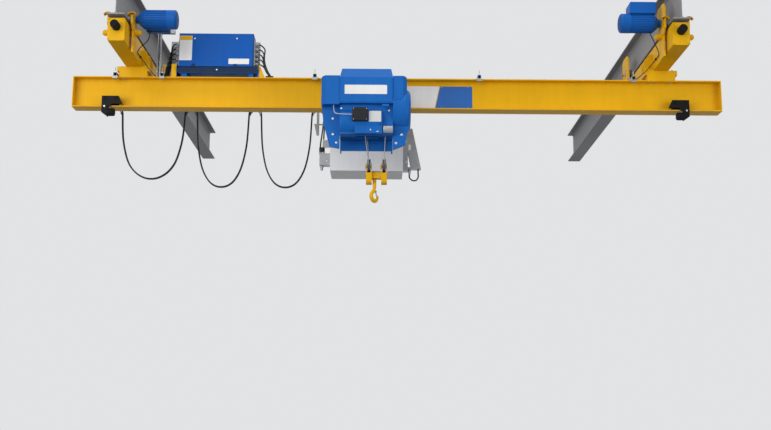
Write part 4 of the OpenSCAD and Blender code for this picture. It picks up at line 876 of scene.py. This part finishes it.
class CRANE_OT_bridge_fasteners(bpy.types.Operator):
    """Makes the bolts of the saddles, clamps, wheel yokes, end stops and carriage faces."""
    bl_idname = "crane.bridge_fasteners"
    bl_label = "Bridge fasteners"

    def execute(self, context):
        middles = [cx for cx, _ in BRIDGE_ENDS]
        bolts = [(at, UP) for cx in middles for at in four_about(cx, *SADDLE_BOLT, SADDLE_TOP)]
        under = GIRDER_TOP - GIRDER_FLANGE
        nuts = [(at, DOWN) for cx in middles for at in four_about(cx, *FLANGE_NUT, under)]
        piece("saddle_bolts", join(stamped(bolt(0.018), bolts), stamped(bolt(0.014), nuts)), "zinc", "bridge")
        shank = turned([(0.006, 0.008), (0.006, 0.058), (0.005, 0.060)], ORIGIN, UP, 12)
        ends = [((x, y, ARM_TOP), UP) for x in ARM_X for y in STUD_Y]
        piece("clamp_studs", stamped(join(bolt(0.012), shank), ends), "steel", "bridge")
        # A cap and two lock bolts on each axle's ends, but for the two that a drive covers
        caps, locks = [], []
        for cx, inner in BRIDGE_ENDS:
            for y in AXLE_Y:
                for side in (-1, 1):
                    if side == inner and y < 0:
                        continue
                    at = np.array((cx + side * YOKE_OUT, y, AXLE_Z))
                    caps.append((at, (side, 0, 0)))
                    locks += [(at + (0, dy, 0.034), (side, 0, 0)) for dy in (-0.028, 0.028)]
        dome = [(0.030, 0), (0.030, 0.008), (0.026, 0.012), (0.012, 0.012), (0.010, 0.010)]
        cap = turned(dome, ORIGIN, UP, 28)
        piece("axle_caps", stamped(cap, caps), "zinc", "bridge")
        piece("axle_lock_bolts", stamped(bolt(0.008), locks), "zinc", "bridge")
        # Two black bolts through each end stop's block, and a bright one below
        high, low = GIRDER_BOTTOM + 0.095, GIRDER_BOTTOM - 0.001
        dark = [(edge + way * dx, high) for edge, way in STOP_EDGES for dx in (0.035, 0.155)]
        bright = [(edge + way * 0.033, low) for edge, way in STOP_EDGES]
        piece("stop_bolts", front_bolts(0.014, STOP_FRONT, dark), "black", "bridge")
        piece("stop_lock_bolts", front_bolts(0.010, STOP_FRONT, bright), "steel", "bridge")
        faces = [((cx + dx, y, z), way) for cx in middles for y, way in CARRIAGE_FACES
                 for dx in (-0.076, 0.076) for z in (-0.489, -0.711)]
        piece("carriage_face_bolts", stamped(bolt(0.007), faces), "yellow", "bridge")
        return {"FINISHED"}


class CRANE_OT_drives(bpy.types.Operator):
    """Makes the drives' fan grilles, flange bolts and terminal lids."""
    bl_idname = "crane.drive_details"
    bl_label = "Drive details"

    def execute(self, context):
        half, low, high = 0.0035, -0.001, 0.003
        grilles, bars, screws, backs = [], [], [], []
        for cx, way in BRIDGE_ENDS:
            out = (way, 0, 0)
            end = np.array((cx + way * DRIVE_END, AXLE_Y[0], AXLE_Z))
            for r in GRILLE_RINGS:
                ring = [(r + half, low), (r + half, high), (r - half, high), (r - half, low)]
                grilles.append(turned_ring(ring, end, out, 36))
            side, rise, _ = axes_along(out)
            for a in np.arange(8) * math.pi / 4:
                ray = math.cos(a) * side + math.sin(a) * rise
                bars.append(tube([end + r * ray for r in GRILLE_BAR], 0.0022, 6))
            flange = np.array((cx + way * DRIVE_FLANGE, AXLE_Y[0], AXLE_Z))
            for a in np.arange(6) * math.pi / 3 + 0.3:
                ray = math.cos(a) * side + math.sin(a) * rise
                screws.append((flange + FLANGE_CIRCLE * ray, out))
            backs.append(turned([(FAN_R, low), (FAN_R, 0.0006)], end, out, 36))
        piece("fan_grilles", join(*grilles, *bars), "drive", "bridge")
        piece("fan_backs", join(*backs), "plastic", "bridge")
        piece("drive_flange_bolts", stamped(bolt(0.007), screws), "zinc", "bridge")
        lids = [pad(outline, 0.012, front, back) for outline, front, back in LIDS]
        piece("terminal_lids", join(*lids), "drive", "bridge")
        return {"FINISHED"}


class CRANE_OT_control_box(bpy.types.Operator):
    """Makes the control box's door fittings, bare plates, foot bolts, tray front sheet in painted shade,
    gland sheets and nuts, and the two bundles of cables that run from the glands into the girder."""
    bl_idname = "crane.control_box"
    bl_label = "Control box details"

    def execute(self, context):
        (x0, y0, z0), (x1, _, z1) = [tuple(v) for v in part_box("control_box_door")]
        edge = 0.002
        gasket = frame_strip(x0 - edge, z0 - edge, x1 + edge, z1 + edge, 0.006, y0 + 0.0105, y0 + 0.0125)
        piece("door_gasket", gasket, "rubber", "bridge")
        piece("door_screws", front_bolts(0.008, y0, DOOR_SCREWS), "steel", "bridge")
        button = [(0.006, 0), (0.006, 0.004), (0.004, 0.005)]
        face = y0 - 0.006
        latches = []
        for x, z in DOOR_LATCHES:
            latches.append(pad((x - 0.019, z - 0.010, x + 0.019, z + 0.010), 0.005, face, y0))
            latches.append(turned(button, (x, face, z), FRONT, 16))
        piece("door_latches", join(*latches), "plastic", "bridge")
        label_thick = 0.0012
        piece("door_label", plate(DOOR_LABEL, y0, label_thick), "white", "bridge")
        piece("door_label_band", plate(DOOR_BAND, y0 - label_thick, 0.0006), "yellow", "bridge")
        piece("door_plate", plate(DOOR_PLATE, y0, 0.0015), "white", "bridge")
        piece("foot_bolts", stamped(bolt(0.012), [(at, UP) for at in BOX_FEET]), "zinc", "bridge")
        # A dark blue sheet across the tray's opening: its dark colour is painted shade, standing in for the
        # shadowed inside of the trough.
        rim = 0.004
        opening = (TRAY_X[0] + rim, TRAY_BOTTOM + rim, TRAY_X[1] - rim, z0 - 0.006)
        piece("tray_shade_sheet", pad(opening, 0.034, TRAY_FRONT, TRAY_FRONT + 0.003), "shade_blue", "bridge")
        piece("tray_screw", front_bolts(0.008, TRAY_FRONT, TRAY_SCREW), "steel", "bridge")
        (front, back), (foot, top) = SHEET_Y, SHEET_Z
        sheets = [brick((low, front, foot), (high, back, top)) for low, high in GLAND_SHEETS]
        piece("gland_sheets", join(*sheets), "zinc", "bridge")
        nut = turned([(0.019, 0), (0.019, 0.010), (0.017, 0.012)], ORIGIN, UP, 6)
        nuts = [((x, 0, z), (way, 0, 0)) for x, way in zip(NUT_X, (-1, 1)) for z in GLAND_Z]
        piece("gland_nuts", stamped(nut, nuts), "zinc", "bridge")
        half, base = 0.045, GIRDER_TOP + 0.0002
        blocks = [pad((x - half, base, x + half, ENTRY_TOP), 0.008, -0.050, 0.050) for x in ENTRY_X]
        piece("cable_entries", join(*blocks), "plastic", "bridge")
        # Each cable leaves its gland level, sags, joins the bundle a drop below and follows it down to the
        # block, which it enters straight. In the bundle the five stand side by side.
        apart_x, apart_y = 0.006, 0.018
        inside, neck, sag, drop, pitch, end = 0.04, 0.030, 0.006, 0.045, 0.070, 0.010
        for side, (gland, way) in enumerate(zip(GLAND_X, (-1, 1))):
            for k, z in enumerate(GLAND_Z):
                dx, y, joint = apart_x * (k - 2), apart_y * (k - 2), z - drop
                route = [(gland - way * inside, 0, z), (gland, 0, z), (gland + way * neck, 0.3 * y, z - sag),
                         (bundle_x(side, joint) + dx, 0.8 * y, joint)]
                levels = np.arange(z - 0.105, ENTRY_TOP + drop, -pitch)
                route += [(bundle_x(side, level) + dx, y, level) for level in levels]
                foot = bundle_x(side, ENTRY_TOP) + dx
                route += [(foot, y, ENTRY_TOP + end), (foot, y, ENTRY_TOP - 0.05)]
                cable_piece(f"box_cable_{side}_{k}", route, BOX_CABLE_R, "sheath", "bridge", None)
        return {"FINISHED"}


class CRANE_OT_hoist(bpy.types.Operator):
    """Makes the hoist's bare plates, switch box lid, drum collar, rope slot lips, anchor sleeve, bracket and
    bolts."""
    bl_idname = "crane.hoist_details"
    bl_label = "Hoist details"

    def execute(self, context):
        piece("hoist_plate", plate(HOIST_PLATE, HOIST_Y, 0.003, 0.006), "white", "trolley")
        piece("drum_label", plate(DRUM_LABEL, -0.6565, 0.0016, 0.005), "label", "trolley")
        (x0, lid, z0), (x1, _, z1) = [tuple(v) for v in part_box("limit_switch_box")]
        rim, lift, inset = 0.005, 0.0025, 0.014
        piece("switch_lid", pad((x0 + rim, z0 + rim, x1 - rim, z1 - rim), 0.008, lid - lift, lid + 0.0005),
              "plastic", "trolley")
        screws = [(x, z) for x in (x0 + inset, x1 - inset) for z in (z0 + inset, z1 - inset)]
        piece("switch_screws", front_bolts(0.005, lid - lift, screws, washer=False), "steel", "trolley")
        collar = [(0.1475, 0), (0.1485, 0.002), (0.1485, 0.0125), (0.1475, 0.0145)]
        sleeve = [(0.0384, 0), (0.0390, 0.002), (0.0390, 0.100), (0.0384, 0.102)]
        piece("drum_collar", turned(collar, COLLAR_AT, ALONG, 96), "blue", "trolley")
        lips = [brick((2.5505, y0, -1.6550), (2.8095, y1, -1.6525)) for y0, y1 in SLOT_LIPS]
        piece("rope_slot_lips", join(*lips), "blue", "trolley")
        piece("anchor_sleeve", turned(sleeve, SLEEVE_AT, ALONG, 40), "zinc", "trolley")
        piece("body_bracket", pad(BODY_BRACKET, 0.004, -0.664, -0.652), "blue", "trolley")
        piece("body_bolts", bolts_on("hoist_body", 0.010, BODY_BOLTS), "steel", "trolley")
        piece("guide_bolts", bolts_on("drum_cover", 0.008, GUIDE_BOLTS), "steel", "trolley")
        piece("bell_bolts", bolts_on("hoist_right_cover", 0.010, BELL_BOLTS), "blue", "trolley")
        piece("cover_bolts", front_bolts(0.012, SIDE_PLATE_Y, COVER_BOLTS), "steel", "trolley")
        return {"FINISHED"}


class CRANE_OT_rear_box(bpy.types.Operator):
    """Makes the rear box's locks, bare plates, lead gland and fitting bolts."""
    bl_idname = "crane.rear_box"
    bl_label = "Rear box details"

    def execute(self, context):
        (x0, _, z0), (x1, back, z1) = [tuple(v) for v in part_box("rear_box")]
        locks = [((x, back, z), BACK) for x in (x0 + 0.09, x1 - 0.09) for z in (z0 + 0.10, z1 - 0.10)]
        knob = turned([(0.015, 0), (0.015, 0.005), (0.011, 0.008), (0.004, 0.008)], ORIGIN, UP, 24)
        piece("rear_locks", stamped(knob, locks), "zinc", "trolley")
        piece("side_plate", brick(*REAR_SIDE_PLATE), "white", "trolley")
        piece("lead_gland", slab(rounded(*LEAD_GLAND, 0.018), "z", -1.568, -1.518), "plastic", "trolley")
        piece("fitting_bolts", bolts_on("rear_box_glands", 0.010, FITTING_BOLTS), "steel", "trolley")
        channel = front_of("rear_box_glands", 3.166, -1.520)
        piece("channel_label", plate(CHANNEL_LABEL, channel, 0.0015), "white", "trolley")
        return {"FINISHED"}


# Stage

def seen_rays(tree):
    """1 for rays that show the background: from the camera, from gloss or through glass. 0 for light."""
    rays = tree.nodes.new("ShaderNodeLightPath").outputs
    glass = math_node(tree, "MAXIMUM", rays["Is Glossy Ray"], rays["Is Transmission Ray"])
    return math_node(tree, "MAXIMUM", rays["Is Camera Ray"], glass)


def floor_material(backdrop):
    """A floor that lights like a grey one and shows as the backdrop. From below it is clear, so that the
    crane's underside can be looked at."""
    mat = bpy.data.materials.new("Floor")
    mat.use_nodes = True
    tree = mat.node_tree
    shader = tree.nodes["Principled BSDF"]
    shader.inputs["Roughness"].default_value = 0.9
    shader.inputs["Base Color"].default_value = (*FLOOR_TONE, 1)
    shader.inputs["Emission Strength"].default_value = 1.0
    shown = mix_color(tree, seen_rays(tree), (0, 0, 0, 1), (*backdrop, 1))
    tree.links.new(shown, shader.inputs["Emission Color"])
    clear = tree.nodes.new("ShaderNodeBsdfTransparent")
    either = tree.nodes.new("ShaderNodeMixShader")
    tree.links.new(tree.nodes.new("ShaderNodeNewGeometry").outputs["Backfacing"], either.inputs[0])
    tree.links.new(shader.outputs[0], either.inputs[1])
    tree.links.new(clear.outputs[0], either.inputs[2])
    tree.links.new(either.outputs[0], tree.nodes["Material Output"].inputs["Surface"])
    return mat


class CRANE_OT_stage(bpy.types.Operator):
    """Makes the plain floor, the sky and the lamps."""
    bl_idname = "crane.stage"
    bl_label = "Stage"

    def execute(self, context):
        MATERIALS["floor"] = floor_material(look().backdrop)
        (x0, y0), (x1, y1) = FLOOR_CORNERS
        corners = np.array([(x0, y0, FLOOR_Z), (x1, y0, FLOOR_Z), (x1, y1, FLOOR_Z), (x0, y1, FLOOR_Z)])
        floor = piece("floor", (corners, np.arange(4), np.array([4])), "floor")
        if floor.data.polygons[0].normal.z < 0:
            floor.data.flip_normals()
        world = bpy.data.worlds.new("Sky")
        world.use_nodes = True
        tree = world.node_tree
        sky = tree.nodes["Background"]
        sky.inputs["Strength"].default_value = 1.0
        shown = mix_color(tree, seen_rays(tree), (*SKY_LIGHT, 1), (*SKY_SHOWN, 1))
        tree.links.new(shown, sky.inputs["Color"])
        context.scene.world = world
        floor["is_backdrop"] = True
        for name, at, target, size, power in LAMPS:
            data = bpy.data.lights.new(name, "AREA")
            data.size = size
            data.energy = power
            lamp = bpy.data.objects.new(name, data)
            lamp.location = at
            aim = np.array(target) - np.array(at)
            lamp.rotation_euler = (math.acos(-aim[2] / np.linalg.norm(aim)), 0, math.atan2(-aim[0], aim[1]))
            context.collection.objects.link(lamp)
        return {"FINISHED"}


class CRANE_PT_panel(bpy.types.Panel):
    """Lists the crane's dressing steps and its sizes and colours."""
    bl_idname = "CRANE_PT_panel"
    bl_label = "Overhead crane"
    bl_space_type = "VIEW_3D"
    bl_region_type = "UI"
    bl_category = "Crane"

    def draw(self, context):
        for name in CraneLook.__annotations__:
            self.layout.prop(context.scene.crane_look, name)
        for step in STEPS:
            self.layout.operator(step.bl_idname)


STEPS = (CRANE_OT_camera, CRANE_OT_materials, CRANE_OT_cables, CRANE_OT_ropes, CRANE_OT_banner,
         CRANE_OT_bridge_fasteners, CRANE_OT_drives, CRANE_OT_control_box, CRANE_OT_hoist, CRANE_OT_rear_box,
         CRANE_OT_stage)


def register():
    """Adds the classes, and the settings to the scene."""
    for cls in (CraneLook, *STEPS, CRANE_PT_panel):
        bpy.utils.register_class(cls)
    bpy.types.Scene.crane_look = PointerProperty(type=CraneLook)


def unregister():
    """Takes the settings and the classes out again."""
    del bpy.types.Scene.crane_look
    for cls in reversed((CraneLook, *STEPS, CRANE_PT_panel)):
        bpy.utils.unregister_class(cls)


def run_step(idname):
    """Calls one operator by its name."""
    family, name = idname.split(".")
    getattr(getattr(bpy.ops, family), name)()


def plain(bounds):
    return json.loads(json.dumps(bounds, default=lambda v: [float(x) for x in v]))


def main():
    """Dresses the crane step by step."""
    register()
    sizes = {"cad": plain(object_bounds())}
    for step in STEPS:
        run_step(step.bl_idname)
    sizes["dressed"] = plain(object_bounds())


if __name__ == "__main__":
    main()
